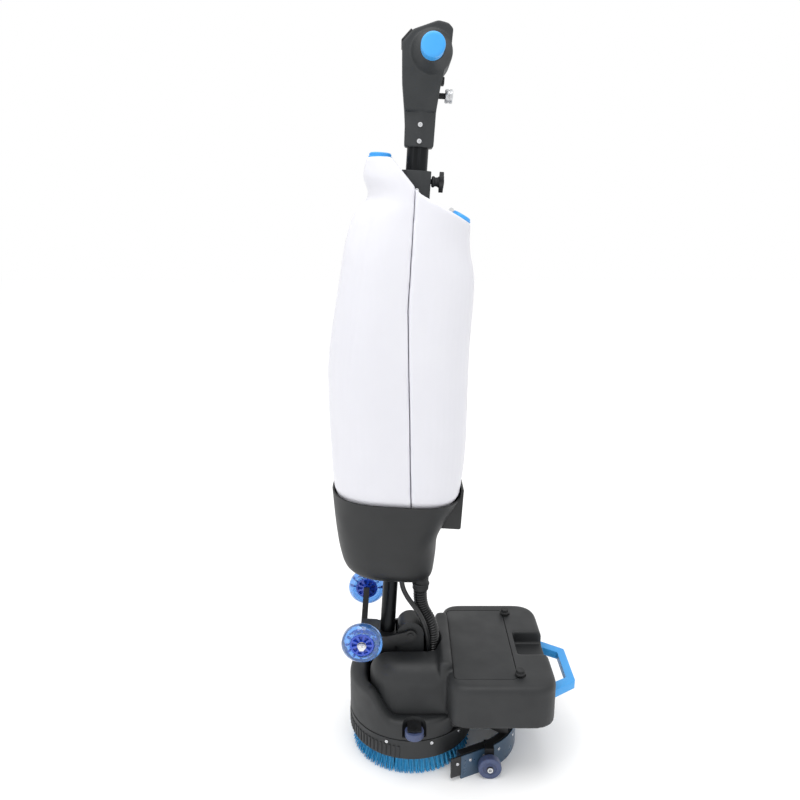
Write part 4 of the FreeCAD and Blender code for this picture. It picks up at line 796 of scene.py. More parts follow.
# ---- wheels and rollers, all turned shapes on a level axle
def makeTransportWheels():
    for end, side in (("near", -1), ("far", 1)):
        node, body = "transport_wheel_" + end, "wheel_" + end
        low, high = localBox(node, columnFrame)
        middle = (low + high) / 2
        radius = (high.x - low.x) / 2
        width = high.y - low.y
        half = width / 2
        tread = roundCorners([
            (20.5, -half + 4), (24, -half + 0.6), (29, -half), (radius, -half + 7),
            (radius, half - 7), (29, half), (24, half - 0.6), (20.5, half - 4)], 5, 5)
        tyre = laid(spin(tread, 72, closed=True), middle, "y")
        tyreItem = newPiece(node.replace("_", "") + "Tyre", tyre, columnFrame, clearBlue, 70)
        attach(tyreItem, body, "wheel_blue", node)
        core = roundCorners([(4.3, -9), (8, -9), (8, -3.5), (17, -3.5), (17, -8), (20.6, -8), (20.6, 8),
                             (17, 8), (17, 3.5), (8, 3.5), (8, 9), (4.3, 9)], 0.8, 2)
        hub = laid(spin(core, 60, closed=True), middle, "y")
        hubItem = newPiece(node.replace("_", "") + "Hub", hub, columnFrame, deepBlue, 40)
        attach(hubItem, body, "wheel_blue")
        spoke = prism(roundCorners([(7, -1.3), (17.6, -2), (17.6, 2), (7, 1.3)], 0.4, 2), -8, 8)
        spoke.transform(Matrix.Rotation(math.pi / 2, 4, "X"))
        places = []
        for step in range(9):
            places.append(Matrix.Translation(middle) @ Matrix.Rotation(2 * math.pi * step / 9, 4, "Y"))
        spokes = repeated(node.replace("_", "") + "Spokes", spoke, places, columnFrame, deepBlue)
        attach(spokes, body, "wheel_blue")
        lamp = spin([(0, -2.4), (2.0, -1.6), (2.4, 0), (2.0, 1.6), (0, 2.4)], 12)
        lamp.transform(Matrix.Rotation(math.pi / 2, 4, "X"))
        places = []
        for step in range(12):
            places.append(Matrix.Translation(middle) @ Matrix.Rotation(2 * math.pi * step / 12, 4, "Y")
                          @ Matrix.Translation((25.5, side * 5, 0)))
        lamps = repeated(node.replace("_", "") + "Magnets", lamp, places, columnFrame, deepBlue)
        attach(lamps, body, "wheel_blue")
        race = roundCorners([(4.2, 0), (7.8, 0), (7.8, 1.6), (6.6, 1.6), (6.2, 0.9), (4.9, 0.9), (4.6, 1.6),
                             (4.2, 1.6)], 0.2, 1)
        ring = laid(spin(race, 40, closed=True), (middle.x, middle.y + side * 9, middle.z),
                    "y" if side > 0 else "-y")
        bearing = newPiece(node.replace("_", "") + "Bearing", ring, columnFrame, zinc)
        attach(bearing, body, "bright_steel")


# hexagon nut with a turned rim and a domed end of the bolt
def nutShape(across, height, bolt):
    corners = [(across / 1.732 * math.cos(math.pi / 3 * k), across / 1.732 * math.sin(math.pi / 3 * k))
               for k in range(6)]
    nut = prism(roundCorners(corners, 0.5, 2), 0, height)
    washer = spin([(0, 0), (across * 0.62, 0), (across * 0.62, 0.7), (0, 0.7)], 32)
    end = spin([(0, height), (bolt, height), (bolt, height + 1.4), (bolt * 0.7, height + 2.0),
                (0, height + 2.2)], 24)
    return gather(nut, washer, end)


def makeAxles():
    low, high = localBox("wheel_axles", columnFrame)
    middle = (low + high) / 2
    for side, name in ((-1, "Near"), (1, "Far")):
        outer = low.y if side < 0 else high.y
        bolt = laid(spin([(0, 0), (3.95, 0), (3.95, 27.5), (0, 27.5)], 28),
                    (middle.x, outer - side * 33, middle.z), "y" if side > 0 else "-y")
        nut = laid(nutShape(11, 4.2, 3.4), (middle.x, outer - side * 5.6, middle.z),
                   "y" if side > 0 else "-y")
        axle = newPiece("wheelAxle" + name, gather(bolt, nut), columnFrame, zinc)
        if side < 0:
            attach(axle, "column", "bright_steel", "wheel_axles")
        else:
            attach(axle, "column", "bright_steel")


def makeCasters():
    for node, body, side in (("caster_wheel_near", "caster_near", -1), ("caster_wheel_far", "caster_far", 1)):
        low, high = localBox(node, headFrame)
        middle = (low + high) / 2
        radius = (high.x - low.x) / 2
        half = (high.y - low.y) / 2
        section = roundCorners([
            (3.1, -half), (6.5, -half), (7, -half + 1.6), (11, -half + 1.6), (12, -half),
            (radius - 0.6, -half), (radius, -half + 2), (radius, half - 2), (radius - 0.6, half),
            (12, half), (11, half - 1.6), (7, half - 1.6), (6.5, half), (3.1, half)], 0.9, 3)
        wheel = laid(spin(section, 64, closed=True), middle, "y")
        item = newPiece(node.replace("_", "") + "Tyre", wheel, headFrame, greyBlue)
        attach(item, body, "grey_blue_pu", node)
        turn = Matrix.Rotation(math.pi / 2 * -side, 4, "X")
        cap = repeated(node.replace("_", "") + "Screw", screwShape(5.6, 3.2),
                       [Matrix.Translation((middle.x, middle.y + side * (half + 0.5), middle.z)) @ turn],
                       headFrame, zinc)
        attach(cap, "squeegee", "bright_steel")


def makeGuideRollers():
    for end in ("near", "far"):
        node, body = "guide_roller_" + end, "roller_" + end
        low, high = localBox(node, headFrame)
        middle = (low + high) / 2
        radius = (high.x - low.x) / 2
        half = (high.z - low.z) / 2
        section = roundCorners([
            (3.1, -half), (5.5, -half), (6, -half + 2.5), (9, -half + 2.5), (9.6, -half),
            (radius - 0.5, -half), (radius, -half + 2), (radius, half - 2), (radius - 0.5, half),
            (9.6, half), (9, half - 3.4), (6, half - 3.4), (5.5, half - 1), (3.1, half - 1)], 0.8, 3)
        tyre = laid(spin(section, 56, closed=True), middle)
        item = newPiece(node.replace("_", "") + "Tyre", tyre, headFrame, greyBlue)
        attach(item, body, "grey_blue_pu", node)
        profile = [(0, high.z - 1.4), (4.6, high.z - 1.4), (4.6, high.z + 0.4), (3.6, high.z + 1.0),
                   (1.8, high.z + 1.0), (1.5, high.z + 0.2), (0, high.z + 0.2)]
        pin = laid(spin(profile, 24), (middle.x, middle.y, 0))
        cap = newPiece(node.replace("_", "") + "Pin", pin, headFrame, zinc)
        attach(cap, "head", "bright_steel")


# ---- column: tanks, base and what is on them
tank = {
    "sections": [   # height, front, rear, half-width
        (258.6, 99.4, 90.2, 81.6), (291.6, 104.0, 105.2, 87.0), (298.0, 107.6, 109.0, 90.6),
        (372.0, 116.0, 112.8, 95.0), (494.0, 125.6, 107.5, 97.0), (546.0, 124.0, 105.5, 97.0),
        (661.0, 112.0, 103.9, 94.0), (710.0, 106.0, 93.0, 91.0), (757.0, 92.0, 90.8, 86.0),
        (775.0, 76.0, 90.0, 84.0), (790.0, 75.0, 90.0, 82.0), (808.0, 83.0, 88.0, 79.0),
        (838.0, 79.0, 84.0, 72.0)],
    "cornerShare": 0.93, "seamFoot": 27.0, "seamBend": (-1.0, 612.0), "seamGap": 0.8, "channelHalf": 27.0,
    "relief": (52.0, 690.0),
    "crownSlope": (-40.0, 838.0), "slopeMid": (7.0, 787.0), "slopeEnd": (58.0, 763.0),
    "outletTilt": 26.0, "outletX": 75.0, "wall": 3.0, "voxel": 2.9, "softPasses": 6,
}
base = {
    "sections": [
        (134.0, 38.0, 62.0, 36.0), (136.5, 50.0, 67.0, 45.0), (143.0, 66.0, 70.0, 55.0),
        (155.0, 80.0, 71.5, 66.0), (180.0, 89.5, 73.0, 72.5), (215.0, 97.0, 74.5, 78.0),
        (250.0, 102.5, 88.0, 84.0),
        (292.0, 108.0, 109.0, 91.0)],
    "cornerShare": 0.93, "wall": 3.0, "charger": (115.0, 33.0, 233.0, 307.0),
}


# front, rear and half-width at a height, on a smooth line through the sections
def sectionAt(sections, height):
    index = 0
    while index < len(sections) - 2 and sections[index + 1][0] <= height:
        index += 1
    low, high = sections[index], sections[index + 1]
    span = high[0] - low[0]
    t = min(max((height - low[0]) / span, 0), 1)
    sizes = []
    for column in (1, 2, 3):
        slopes = []
        for at in (index, index + 1):
            before, after = sections[max(at - 1, 0)], sections[min(at + 1, len(sections) - 1)]
            slopes.append((after[column] - before[column]) / (after[0] - before[0]))
        sizes.append((2 * t ** 3 - 3 * t ** 2 + 1) * low[column]
                     + (t ** 3 - 2 * t ** 2 + t) * span * slopes[0]
                     + (3 * t ** 2 - 2 * t ** 3) * high[column] + (t ** 3 - t ** 2) * span * slopes[1])
    return sizes


def towerRing(shape, height, steps=12):
    front, rear, half = sectionAt(shape["sections"], height)
    outline = roundCorners([(-front, -half), (rear, -half), (rear, half), (-front, half)],
                           shape["cornerShare"] * half, steps)
    return [(point.x, point.y, height) for point in outline]


def heightsOf(shape, step):
    low, high = shape["sections"][0][0], shape["sections"][-1][0]
    count = round((high - low) / step)
    return [low + (high - low) * index / count for index in range(count + 1)]


def slopeHeight(x):
    (startX, startZ), (endX, endZ) = tank["crownSlope"], tank["slopeMid"]
    return startZ + (x - startX) / (endX - startX) * (endZ - startZ)


def makeTank(isClean):
    t = tank
    sign = -1 if isClean else 1
    name = "cleanTank" if isClean else "recoveryTank"
    item = newPiece(name, loft([towerRing(t, z) for z in heightsOf(t, 8)]), columnFrame, milky)
    draw = sign * t["seamGap"] / 2
    bendX, bendZ = t["seamBend"]
    side = [(sign * 300, 200), (t["seamFoot"] + draw, 200), (t["seamFoot"] + draw, t["sections"][0][0]),
            (bendX + draw, bendZ), (bendX + draw * 0.4, slopeHeight(bendX))]
    if isClean:
        side += [t["crownSlope"], (-300, t["crownSlope"][1])]
    else:
        endX, endZ = t["slopeEnd"]
        fall = math.tan(math.radians(t["outletTilt"])) * (300 - endX)
        side += [t["slopeMid"], (endX, endZ), (300, endZ - fall)]
    carve(item, prism(side, -200, 200, "y"), columnFrame, "INTERSECT")
    half = t["channelHalf"]
    carve(item, block((-half, -half, 200), (half, half, 900)), columnFrame)
    reliefX, reliefZ = t["relief"]
    carve(item, block((0, -half, reliefZ), (reliefX, half, 900)), columnFrame)
    mould(item, t["voxel"], t["softPasses"])
    skin = item.modifiers.new("wall", "SOLIDIFY")
    skin.thickness = t["wall"] * mm
    skin.offset = -1
    settle(item, 60)
    if isClean:
        low, high = localBox("clean_tank_cap", columnFrame)
        mouth = rod(((low.x + high.x) / 2, 0, high.z - 25), 13.8, 60)
        carve(item, mouth, columnFrame)
        return attach(item, "clean_tank_body", "tank_milk", "clean_tank")
    carve(item, laidAtOutlet(spin([(0, -14), (11.8, -14), (11.8, 30), (0, 30)], 40)), columnFrame)
    return attach(item, "recovery_tank_body", "tank_milk", "recovery_tank")


# sets a mesh made about Z on the recovery tank's tilted outlet
def laidAtOutlet(mesh):
    endX, endZ = tank["slopeEnd"]
    tilt = math.radians(tank["outletTilt"])
    x = tank["outletX"]
    z = endZ - (x - endX) * math.tan(tilt)
    mesh.transform(Matrix.Translation((x, 0, z)) @ Matrix.Rotation(tilt, 4, "Y"))
    return mesh


def makeBase():
    b = base
    rings = [towerRing(b, z, 14) for z in heightsOf(b, 4.2)]
    item = newPiece("tankBase", loft(rings, capped=False), columnFrame, satin, 60)
    skin = item.modifiers.new("wall", "SOLIDIFY")
    skin.thickness = b["wall"] * mm
    skin.offset = -1
    settle(item, 50)
    attach(item, "column", "black_plastic", "tank_base")
    rear, half, low, high = b["charger"]
    outline = [(74, low, 1), (rear, low, 4), (rear, high, 6), (110.8, high, 1), (109.6, 293, 1), (92, 262, 1)]
    box = newPiece("chargerBox", prism(roundCorners(outline, 2, 4), -half, half, "y"), columnFrame, satin)
    rounded(box, 5.0, 4)
    attach(box, "column", "black_plastic", "charger_box")


# ribbed caps; the clean one has a wide flange, the other sits on the tilted outlet behind a latch
cap = {"cleanRadius": 18.6, "cleanHeight": 9.0, "recoveryRadius": 17.2, "recoveryHeight": 7.0, "ribs": 40}


def capShape(radius, height, plug, plugDepth):
    profile = [(0, -plugDepth), (plug, -plugDepth), (plug, 0), (radius - 1.4, 0), (radius, 0.8),
               (radius, 2.6), (radius - 1.6, 3.4), (radius - 2.0, height - 1.8), (radius - 3.4, height - 0.5),
               (radius - 7, height), (0, height - 0.4)]
    return spin(profile, 72)


def makeCaps():
    c = cap
    low, high = localBox("clean_tank_cap", columnFrame)
    foot = tank["crownSlope"][1]
    middle = ((low.x + high.x) / 2, 0, foot)
    shape = capShape(c["cleanRadius"], c["cleanHeight"], 13.4, 7.5)
    item = newPiece("cleanCap", laid(shape, middle), columnFrame, skyBlue)
    attach(item, "clean_cap", "blue_plastic", "clean_tank_cap")
    places = []
    for step in range(c["ribs"]):
        spot = turnedAt(c["cleanRadius"] - 2.0, 360 * step / c["ribs"], 3.4)
        places.append(Matrix.Translation(middle) @ spot)
    rib = prism(roundCorners([(-0.8, -0.55), (0.7, -0.4), (0.7, 0.4), (-0.8, 0.55)], 0.2, 1), 0, 3.4)
    ribs = repeated("cleanCapRibs", rib, places, columnFrame, skyBlue)
    attach(ribs, "clean_cap", "blue_plastic")
    shape = capShape(c["recoveryRadius"], c["recoveryHeight"], 11.6, 7.5)
    item = newPiece("recoveryCap", laidAtOutlet(shape), columnFrame, skyBlue)
    attach(item, "recovery_cap", "blue_plastic", "recovery_tank_cap")
    hasp = prism(roundCorners([(-5, 0), (3, 0), (3, 5), (1, 7.5), (-3, 7.5), (-5, 4)], 1.2, 3), -5, 5, "y")
    hasp.transform(Matrix.Translation((-c["recoveryRadius"] - 1.0, 0, 0)))
    latch = newPiece("capLatch", laidAtOutlet(hasp), columnFrame, zinc)
    rounded(latch, 0.5, 2)
    attach(latch, "recovery_cap", "bright_steel")


# ---- telescopic tube, clamp, star knob
def makeTube():
    low, high = localBox("telescopic_tube", columnFrame)
    radius = (high.x - low.x) / 2
    outline = []
    for step in range(96):
        angle = 2 * math.pi * step / 96
        groove = 0
        for centre, width, depth in ((90, 13, 3.2), (270, 13, 3.2), (0, 8, 1.0), (180, 8, 1.0)):
            away = (math.degrees(angle) - centre + 180) % 360 - 180
            groove += depth * math.exp(-(away / width) ** 2)
        reach = radius - groove
        outline.append((reach * math.cos(angle), reach * math.sin(angle)))
    item = newPiece("telescopicTube", prism(outline, low.z, high.z), columnFrame, anodised, 50)
    return attach(item, "handle", "black_aluminium", "telescopic_tube")


def makeClamp():
    low, high = localBox("clamp_collar", columnFrame)
    reach = (high.x - low.x) / 2
    outline = roundCorners([(-reach, -16, 3), (-14, -reach + 1, 4), (7, -reach, 3), (reach, -16, 4),
                            (reach, 16, 4), (7, reach, 3), (-14, reach - 1, 4), (-reach, 16, 3)], 3, 4)
    item = newPiece("clampCollar", prism(outline, low.z, high.z), columnFrame, nylon)
    rounded(item, 1.4, 3)
    carve(item, rod((0, 0, low.z - 5), 17.6, 90, "z", 64), columnFrame)
    carve(item, rod((0, 0, low.z - 5), 20.1, 18, "z", 64), columnFrame)
    starLow, starHigh = localBox("star_knob", columnFrame)
    starZ = (starLow.z + starHigh.z) / 2
    carve(item, rod((10, 0, starZ), 4.1, 30, "x"), columnFrame)
    slit = block((4, -1.1, high.z - 22), (40, 1.1, high.z + 5))
    carve(item, slit, columnFrame)
    attach(item, "column", "black_plastic", "clamp_collar")
    places = []
    for side in (-1, 1):
        turn = Matrix.Rotation(math.pi / 2 * -side, 4, "X")
        places.append(Matrix.Translation((2, side * (reach - 0.6), starZ - 15.5)) @ turn)
    screws = repeated("collarScrews", screwShape(3.9, 2.1), places, columnFrame, zinc)
    attach(screws, "column", "bright_steel")
    hub = spin([(0, -7), (3.95, -7), (3.95, 1), (7.4, 1), (8.8, 2.5), (8.8, 5), (7.0, 6.5), (7.0, 10),
                (8.6, 12), (8.6, 13.6), (0, 13.6)], 40)
    lobes = []
    for step in range(60):
        angle = 2 * math.pi * step / 60
        lobes.append(((13.4 + 2.6 * math.cos(6 * angle)) * math.cos(angle),
                      (13.4 + 2.6 * math.cos(6 * angle)) * math.sin(angle)))
    wing = prism(lobes, 13, 20)
    boss = spin([(0, 19), (6, 19), (5.6, 20.6), (4, 21), (0, 21)], 32)
    star = laid(gather(hub, wing, boss), (reach + 0.4, 0, starZ), "x")
    knob = newPiece("starKnob", star, columnFrame, rubber)
    rounded(knob, 0.8, 2, 42)
    attach(knob, "star", "black_plastic", "star_knob")


# ---- handle head, its end caps, dial, panel and trigger
handle = {
    "side": [(-21.7, 857), (-22.6, 890), (-24.9, 912), (-30.6, 954), (-33.5, 1001, 8), (-18.0, 1019, 8),
             (17.7, 1033, 14), (33.0, 1030, 9), (40.3, 1023, 5), (39.6, 1001), (35.2, 975), (31.7, 966.7, 2),
             (27.9, 946), (24.2, 912), (23.7, 857)],
    "neckHalf": 22.5, "half": 65.0, "bodyHalf": 40.0, "bossRadius": 31.0, "step": 908.0, "flare": 966.0,
    "voxel": 1.5, "softPasses": 5,
}


def makeHandle():
    h = handle
    outline = roundCorners(h["side"], 4, 4)
    item = newPiece("handleHead", prism(outline, -80, 80, "y"), columnFrame, nylon)
    neck, wide, step, flare = h["neckHalf"], h["bodyHalf"], h["step"], h["flare"]
    front = [(-neck, step), (neck, step), (neck + 3, step + 3), (wide, flare), (wide, 1060), (-wide, 1060),
             (-wide, flare), (-neck - 3, step + 3)]
    top = newPiece("top", prism(front, -80, 80, "x"), columnFrame)
    plan = [(-26, -neck + 5), (3, -neck), (26, -neck + 5), (26, neck - 5), (3, neck), (-26, neck - 5)]
    foot = newPiece("foot", prism(plan, 850, step + 8), columnFrame)
    union = top.modifiers.new("whole", "BOOLEAN")
    union.operation = "UNION"
    union.solver = "EXACT"
    union.object = foot
    settle(top)
    bpy.data.objects.remove(foot)
    common = item.modifiers.new("common", "BOOLEAN")
    common.operation = "INTERSECT"
    common.solver = "EXACT"
    common.object = top
    settle(item)
    bpy.data.objects.remove(top)
    capLow, capHigh = localBox("grip_caps", columnFrame)
    middle = (capLow + capHigh) / 2
    radius = (capHigh.x - capLow.x) / 2
    half, boss = h["half"], h["bossRadius"]
    barrel = [(0, -half), (radius + 0.6, -half), (radius + 2.6, -half + 4), (boss, -wide), (boss, wide),
              (radius + 2.6, half - 4), (radius + 0.6, half), (0, half)]
    carve(item, laid(spin(barrel, 72), middle, "y"), columnFrame, "UNION")
    mould(item, h["voxel"], h["softPasses"])
    carve(item, rod((0, 0, 850), 17.5, 54, "z", 64), columnFrame)
    low, high = localBox("speed_dial", columnFrame)
    dialZ = (low.z + high.z) / 2
    carve(item, rod((low.x - 1, 0, dialZ), 4.7, 40, "x"), columnFrame)
    trigLow, trigHigh = localBox("start_trigger", columnFrame)
    slot = block((trigLow.x - 4, trigLow.y - 0.5, trigLow.z - 1), (60, trigHigh.y + 0.5, trigHigh.z + 1))
    carve(item, slot, columnFrame)
    shade(item, 45)
    attach(item, "handle", "dark_shell", "handle_head")
    lever = block(trigLow, trigHigh)
    trigger = newPiece("startTrigger", lever, columnFrame, rubber)
    rounded(trigger, 1.6, 3)
    attach(trigger, "trigger", "black_plastic", "start_trigger")
    ends = []
    for side, reach in ((-1, -capLow.y), (1, capHigh.y)):
        profile = [(0, reach - 34), (radius - 0.4, reach - 34), (radius, reach - 3.4),
                   (radius - 0.5, reach - 1.2), (radius - 2.0, reach - 0.2), (radius - 5, reach), (0, reach)]
        ends.append(laid(spin(profile, 72), (middle.x, 0, middle.z), "y" if side > 0 else "-y"))
    caps = newPiece("gripEnds", gather(*ends), columnFrame, skyBlue)
    attach(caps, "handle", "blue_plastic", "grip_caps")


def makeDial():
    low, high = localBox("speed_dial", columnFrame)
    middle = (low + high) / 2
    face = high.x
    thick = 12
    stem = laid(spin([(0, 0), (4.4, 0), (4.4, face - thick - low.x), (0, face - thick - low.x)], 28),
                (low.x, 0, middle.z), "x")
    stemItem = newPiece("dialStem", stem, columnFrame, rubber)
    attach(stemItem, "dial", "black_plastic", "speed_dial")
    profile = [(0, 0), (9.4, 0), (10.0, 0.8), (10.0, 4.6), (9.3, 5.0), (9.3, 6.0), (10.0, 6.4), (10.0, 10.8),
               (9.0, 11.9), (3, 12), (0, 11.6)]
    grip = laid(spin(profile, 60), (face - thick, 0, middle.z), "x")
    knob = newPiece("speedDial", grip, columnFrame, turned)
    attach(knob, "dial", "silver_knob")
    tooth = prism([(-0.4, -0.32), (0.55, 0), (-0.4, 0.32)], 0, 4.2)
    places = []
    lying = Matrix.Translation((face - thick, 0, middle.z)) @ Matrix.Rotation(math.pi / 2, 4, "Y")
    for start in (0.6, 6.6):
        for step in range(42):
            places.append(lying @ turnedAt(10.0, 360 * step / 42, start))
    knurl = repeated("dialKnurl", tooth, places, columnFrame, turned)
    attach(knurl, "dial", "silver_knob")


# the panel's own frame: its middle, with X up the slope
def panelFrame():
    brow, temple = Vector(handle["side"][4][:2]), Vector(handle["side"][5][:2])
    slope = math.atan2(temple.y - brow.y, temple.x - brow.x)
    middle = (brow + temple) / 2
    return (columnFrame @ Matrix.Translation((middle.x, 0, middle.y)) @ Matrix.Rotation(-slope, 4, "Y"),
            (temple - brow).length)


def makePanel():
    placing, length = panelFrame()
    half = length / 2 - 1
    plate = prism(roundCorners([(-half, -38), (half, -38), (half, 38), (-half, 38)], 4, 4), -1, 3)
    item = newPiece("controlPanel", plate, placing, rubber)
    rounded(item, 0.8, 2)
    for step in (-1, 0, 1):
        carve(item, rod((0, 20 * step, -3), 5.3, 12), placing)
    attach(item, "handle", "black_plastic", "control_panel")
    finishes = {"brush_button": skyBlue, "power_button": zinc, "suction_button": skyBlue}
    for step, kind in ((-1, "brush"), (0, "power"), (1, "suction")):
        node, body = kind + "_button", "button_" + kind
        profile = [(0, 1.5), (4.9, 1.5), (4.9, 4.2), (4.3, 4.7), (2.4, 4.5), (0, 4.2)]
        button = newPiece(node.replace("_", "") + "Cap", laid(spin(profile, 32), (0, 20 * step, 0)), placing,
                          finishes[node])
        attach(button, body, "black_plastic", node)


# ---- hoses: each follows a smooth line through its route's points
hoses = {
    "suctionColumn": ((55, 0, 98), (55, 0, 66)), "suctionHead": ((38.5, 0, 234), (39, 0, 178), (39, 0, 128)),
    "waterColumn": ((20, -10, 120), (20, -10, 100)),
    "waterHead": ((18, -20.5, 262), (31, -21, 216), (32, -20, 166), (32, -20, 112)),
    "crest": 12.6, "root": 10.2, "pitch": 4.8, "water": 4.5,
}


def routeLine(name, points):
    curve = bpy.data.curves.new(name, "CURVE")
    curve.dimensions = "3D"
    curve.resolution_u = 24
    spline = curve.splines.new("NURBS")
    spline.points.add(len(points) - 1)
    for spot, point in zip(spline.points, points):
        spot.co = (*point, 1)
    spline.order_u = 3
    spline.use_endpoint_u = True
    item = bpy.data.objects.new(name, curve)
    bpy.context.scene.collection.objects.link(item)
    bpy.context.view_layer.update()
    line = bpy.data.meshes.new_from_object(item)
    points = [vertex.co.copy() for vertex in line.vertices]
    bpy.data.meshes.remove(line)
    bpy.data.objects.remove(item)
    return points


# a tube whose radius follows its own length, along a line of points
def tubeAlong(line, step, radiusAt, sides=20):
    lengths = [0]
    for before, after in zip(line, line[1:]):
        lengths.append(lengths[-1] + (after - before).length)
    count = max(int(lengths[-1] / step), 2)
    rings = []
    side = Vector((0, 1, 0))
    index = 0
    for number in range(count + 1):
        travelled = lengths[-1] * number / count
        while index < len(line) - 2 and lengths[index + 1] < travelled:
            index += 1
        share = (travelled - lengths[index]) / (lengths[index + 1] - lengths[index])
        spot = line[index].lerp(line[index + 1], share)
        ahead = (line[min(index + 2, len(line) - 1)] - line[max(index - 1, 0)]).normalized()
        side = (side - ahead * side.dot(ahead)).normalized()
        across = ahead.cross(side)
        radius = radiusAt(travelled, lengths[-1])
        ring = []
        for corner in range(sides):
            angle = 2 * math.pi * corner / sides
            ring.append(spot + (side * math.cos(angle) + across * math.sin(angle)) * radius)
        rings.append(ring)
    return loft(rings)


def makeHoses():
    g = hoses
    suction = [columnFrame @ Vector(p) for p in g["suctionColumn"]]
    suction += [headFrame @ Vector(p) for p in g["suctionHead"]]
    water = [columnFrame @ Vector(p) for p in g["waterColumn"]]
    water += [headFrame @ Vector(p) for p in g["waterHead"]]

    def corrugated(travelled, length):
        wave = 0.5 + 0.5 * math.cos(2 * math.pi * travelled / (g["pitch"] * mm))
        return (g["root"] + (g["crest"] - g["root"]) * wave ** 0.7) * mm

    line = routeLine("suctionRoute", suction)
    wall = tubeAlong(line, g["pitch"] * mm / 8, corrugated, 28)
    hose = newPiece("suctionHose", wall, Matrix(), hosePvc, 70)
    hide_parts("suction_hose")
    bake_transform(hose)
    line = routeLine("waterRoute", water)
    wall = tubeAlong(line, 3 * mm, lambda travelled, length: g["water"] * mm, 18)
    thin = newPiece("waterHose", wall, Matrix(), hosePvc, 70)
    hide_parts("water_hose")
    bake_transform(thin)
    low, high = localBox("hose_cuff", columnFrame)
    middle = (low + high) / 2
    top = base["sections"][0][0] + 4
    cuff = [(10.8, low.z), (13.4, low.z), (14.6, low.z + 2), (14.6, low.z + 9), (15.6, low.z + 11),
            (15.6, low.z + 14), (13.6, low.z + 15), (13.6, top), (10.8, top)]
    sleeve = laid(spin(roundCorners(cuff, 0.6, 2), 56, closed=True), (middle.x, middle.y, 0))
    item = newPiece("hoseCuff", sleeve, columnFrame, rubber)
    attach(item, "column", "hose_black", "hose_cuff")


# ---- squeegee trim: a clamp strip over the outer blade, and its screws
squeegee = {"centre": 90.3, "radius": 105.0, "wing": 74.0, "slope": 25.0, "stripLow": 7.0, "stripHigh": 46.0,
            "strip": 1.8, "screwZ": 33.0}


def makeClampStrip():
    q = squeegee
    slope = math.radians(q["slope"])
    sides = []
    for grow in (q["strip"], -1.5):
        bow = []
        reach = q["radius"] + grow
        for step in range(-20, 21):
            angle = (math.pi / 2 - slope) * step / 20
            bow.append(Vector((q["centre"] + reach * math.cos(angle), reach * math.sin(angle))))
        tail = Vector((-math.cos(slope), math.sin(slope))) * q["wing"]
        bow.append(bow[-1] + tail)
        bow.insert(0, bow[0] + Vector((tail.x, -tail.y)))
        sides.append(bow)
    strip = newPiece("clampStrip", prism(sides[0] + sides[1][::-1], q["stripLow"], q["stripHigh"]), headFrame,
                     powderSteel)
    rounded(strip, 0.5, 2)
    attach(strip, "squeegee", "black_plastic")


def makeSqueegeeScrews():
    centre, height = squeegee["centre"], squeegee["screwZ"]
    seat = squeegee["radius"] + squeegee["strip"] - 0.3
    slope = math.radians(squeegee["slope"])
    normal = Vector((math.sin(slope), math.cos(slope), 0))
    along = Vector((-math.cos(slope), math.sin(slope), 0))
    places = []
    for side in (-1, 1):
        for reach in (8, 36, 62):
            spot = Vector((centre, 0, height)) + normal * seat + along * reach
            out = normal.copy()
            spot.y *= side
            out.y *= side
            turn = out.to_track_quat("Z", "Y").to_matrix().to_4x4()
            places.append(Matrix.Translation(spot) @ turn)
    for step in range(-2, 3):
        angle = math.radians(step * 26)
        spot = Vector((centre + seat * math.cos(angle), seat * math.sin(angle), height))
        turn = Vector((math.cos(angle), math.sin(angle), 0)).to_track_quat("Z", "Y").to_matrix().to_4x4()
        places.append(Matrix.Translation(spot) @ turn)
    screws = repeated("squeegeeScrews", screwShape(3.0, 1.8), places, headFrame, zinc)
    attach(screws, "squeegee", "bright_steel")


# ---- finishes of the pieces that keep their own shape
finishes = {
    "brush_plate": textured, "brush_drive_hub": castMetal, "brush_deck": textured,
    "brush_gearmotor": castMetal,
    "hinge_post": textured, "solenoid_valve": rubber, "roller_brackets": powderSteel, "battery_pack": satin,
    "lift_brackets": powderSteel, "suction_port": rubber, "squeegee_body": powderSteel,
    "squeegee_blades": bladeBlue, "squeegee_arms": powderSteel, "caster_brackets": powderSteel,
    "pole_tube": anodised, "hinge_fork": powderSteel,
    "wheel_bracket": powderSteel, "suction_motor": castMetal, "control_board": boardGreen,
    "suction_impeller": castMetal, "float_cage": rubber, "float_valve": skyBlue,
}


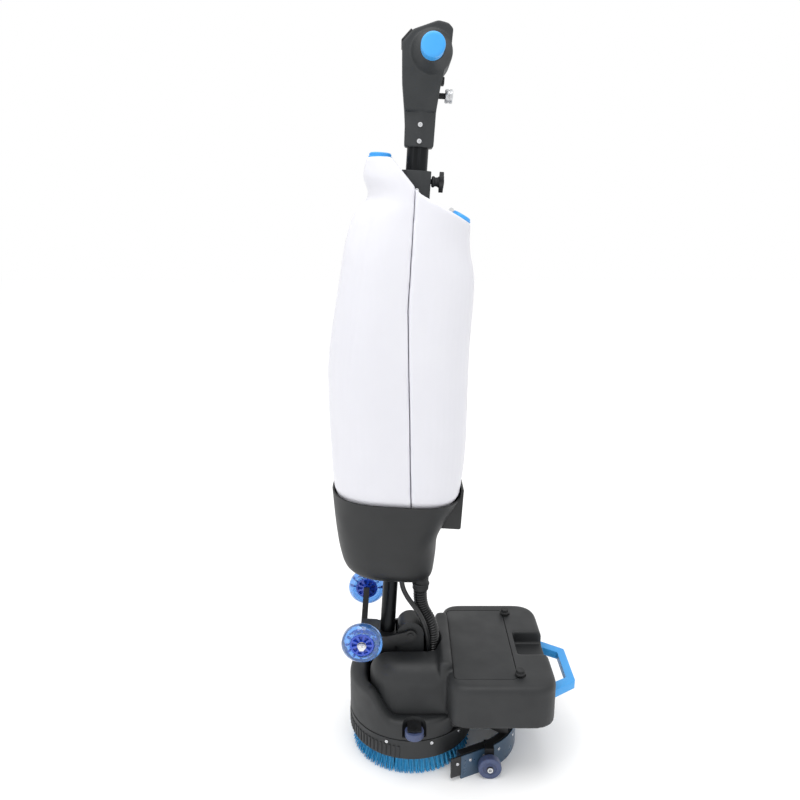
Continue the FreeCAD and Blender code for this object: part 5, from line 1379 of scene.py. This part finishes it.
def dressNodes():
    for node, finish in finishes.items():
        item = frame["nodes"][node]
        item.data.materials.clear()
        item.data.materials.append(finish)


# ---- studio
studio = {"camera": (-0.0986, -1.23, 0.977), "pitch": 75.5, "lens": 33.65, "floor": "#ffffff"}


def makeStudio():
    s = studio
    world = bpy.data.worlds.new("softbox")
    bpy.context.scene.world = world
    world.use_nodes = True
    world.node_tree.nodes["Background"].inputs["Color"].default_value = (1, 1, 1, 1)
    world.node_tree.nodes["Background"].inputs["Strength"].default_value = 1.0
    bpy.context.scene.view_settings.view_transform = "Standard"
    ground, _, _ = newMaterial("paintedFloor", s["floor"], Roughness=1.0, Specular_IOR_Level=0.0)
    bpy.ops.mesh.primitive_plane_add(size=14, location=(0, 2, 0))
    floor = bpy.context.object
    floor.name = "floor"
    floor.data.materials.append(ground)
    lamps = (("topSoftbox", (-0.3, -0.5, 2.6), (12, 0, 0), 26, 1.6),
             ("frontFill", (-1.6, -2.2, 1.4), (65, 0, -36), 6, 1.4),
             ("rimStrip", (1.7, 0.8, 1.5), (-65, 0, 115), 14, 1.0))
    for name, place, angles, power, size in lamps:
        light = bpy.data.lights.new(name, "AREA")
        light.energy = power
        light.size = size
        lamp = bpy.data.objects.new(name, light)
        lamp.location = place
        lamp.rotation_euler = [math.radians(angle) for angle in angles]
        bpy.context.scene.collection.objects.link(lamp)
    camera = bpy.data.objects.new("camera", bpy.data.cameras.new("camera"))
    camera.location = s["camera"]
    camera.rotation_euler = (math.radians(s["pitch"]), 0, 0)
    camera.data.lens = s["lens"]
    bpy.context.scene.collection.objects.link(camera)
    bpy.context.scene.camera = camera


makeStudio()
dressNodes()
makeHoses()
print("hoses ready")
makeCover()
makeFender()
makeSkirt()
makeLid()
makeLoop()
print("head covers ready")
makeBrush()
makeScrews()
makeTransportWheels()
makeAxles()
makeCasters()
makeGuideRollers()
makeSqueegeeScrews()
makeClampStrip()
print("brush, wheels and screws ready")
makeTank(True)
makeTank(False)
makeBase()
makeCaps()
print("tanks and base ready")
makeTube()
makeClamp()
makeHandle()
makeDial()
makePanel()
print("handle ready")
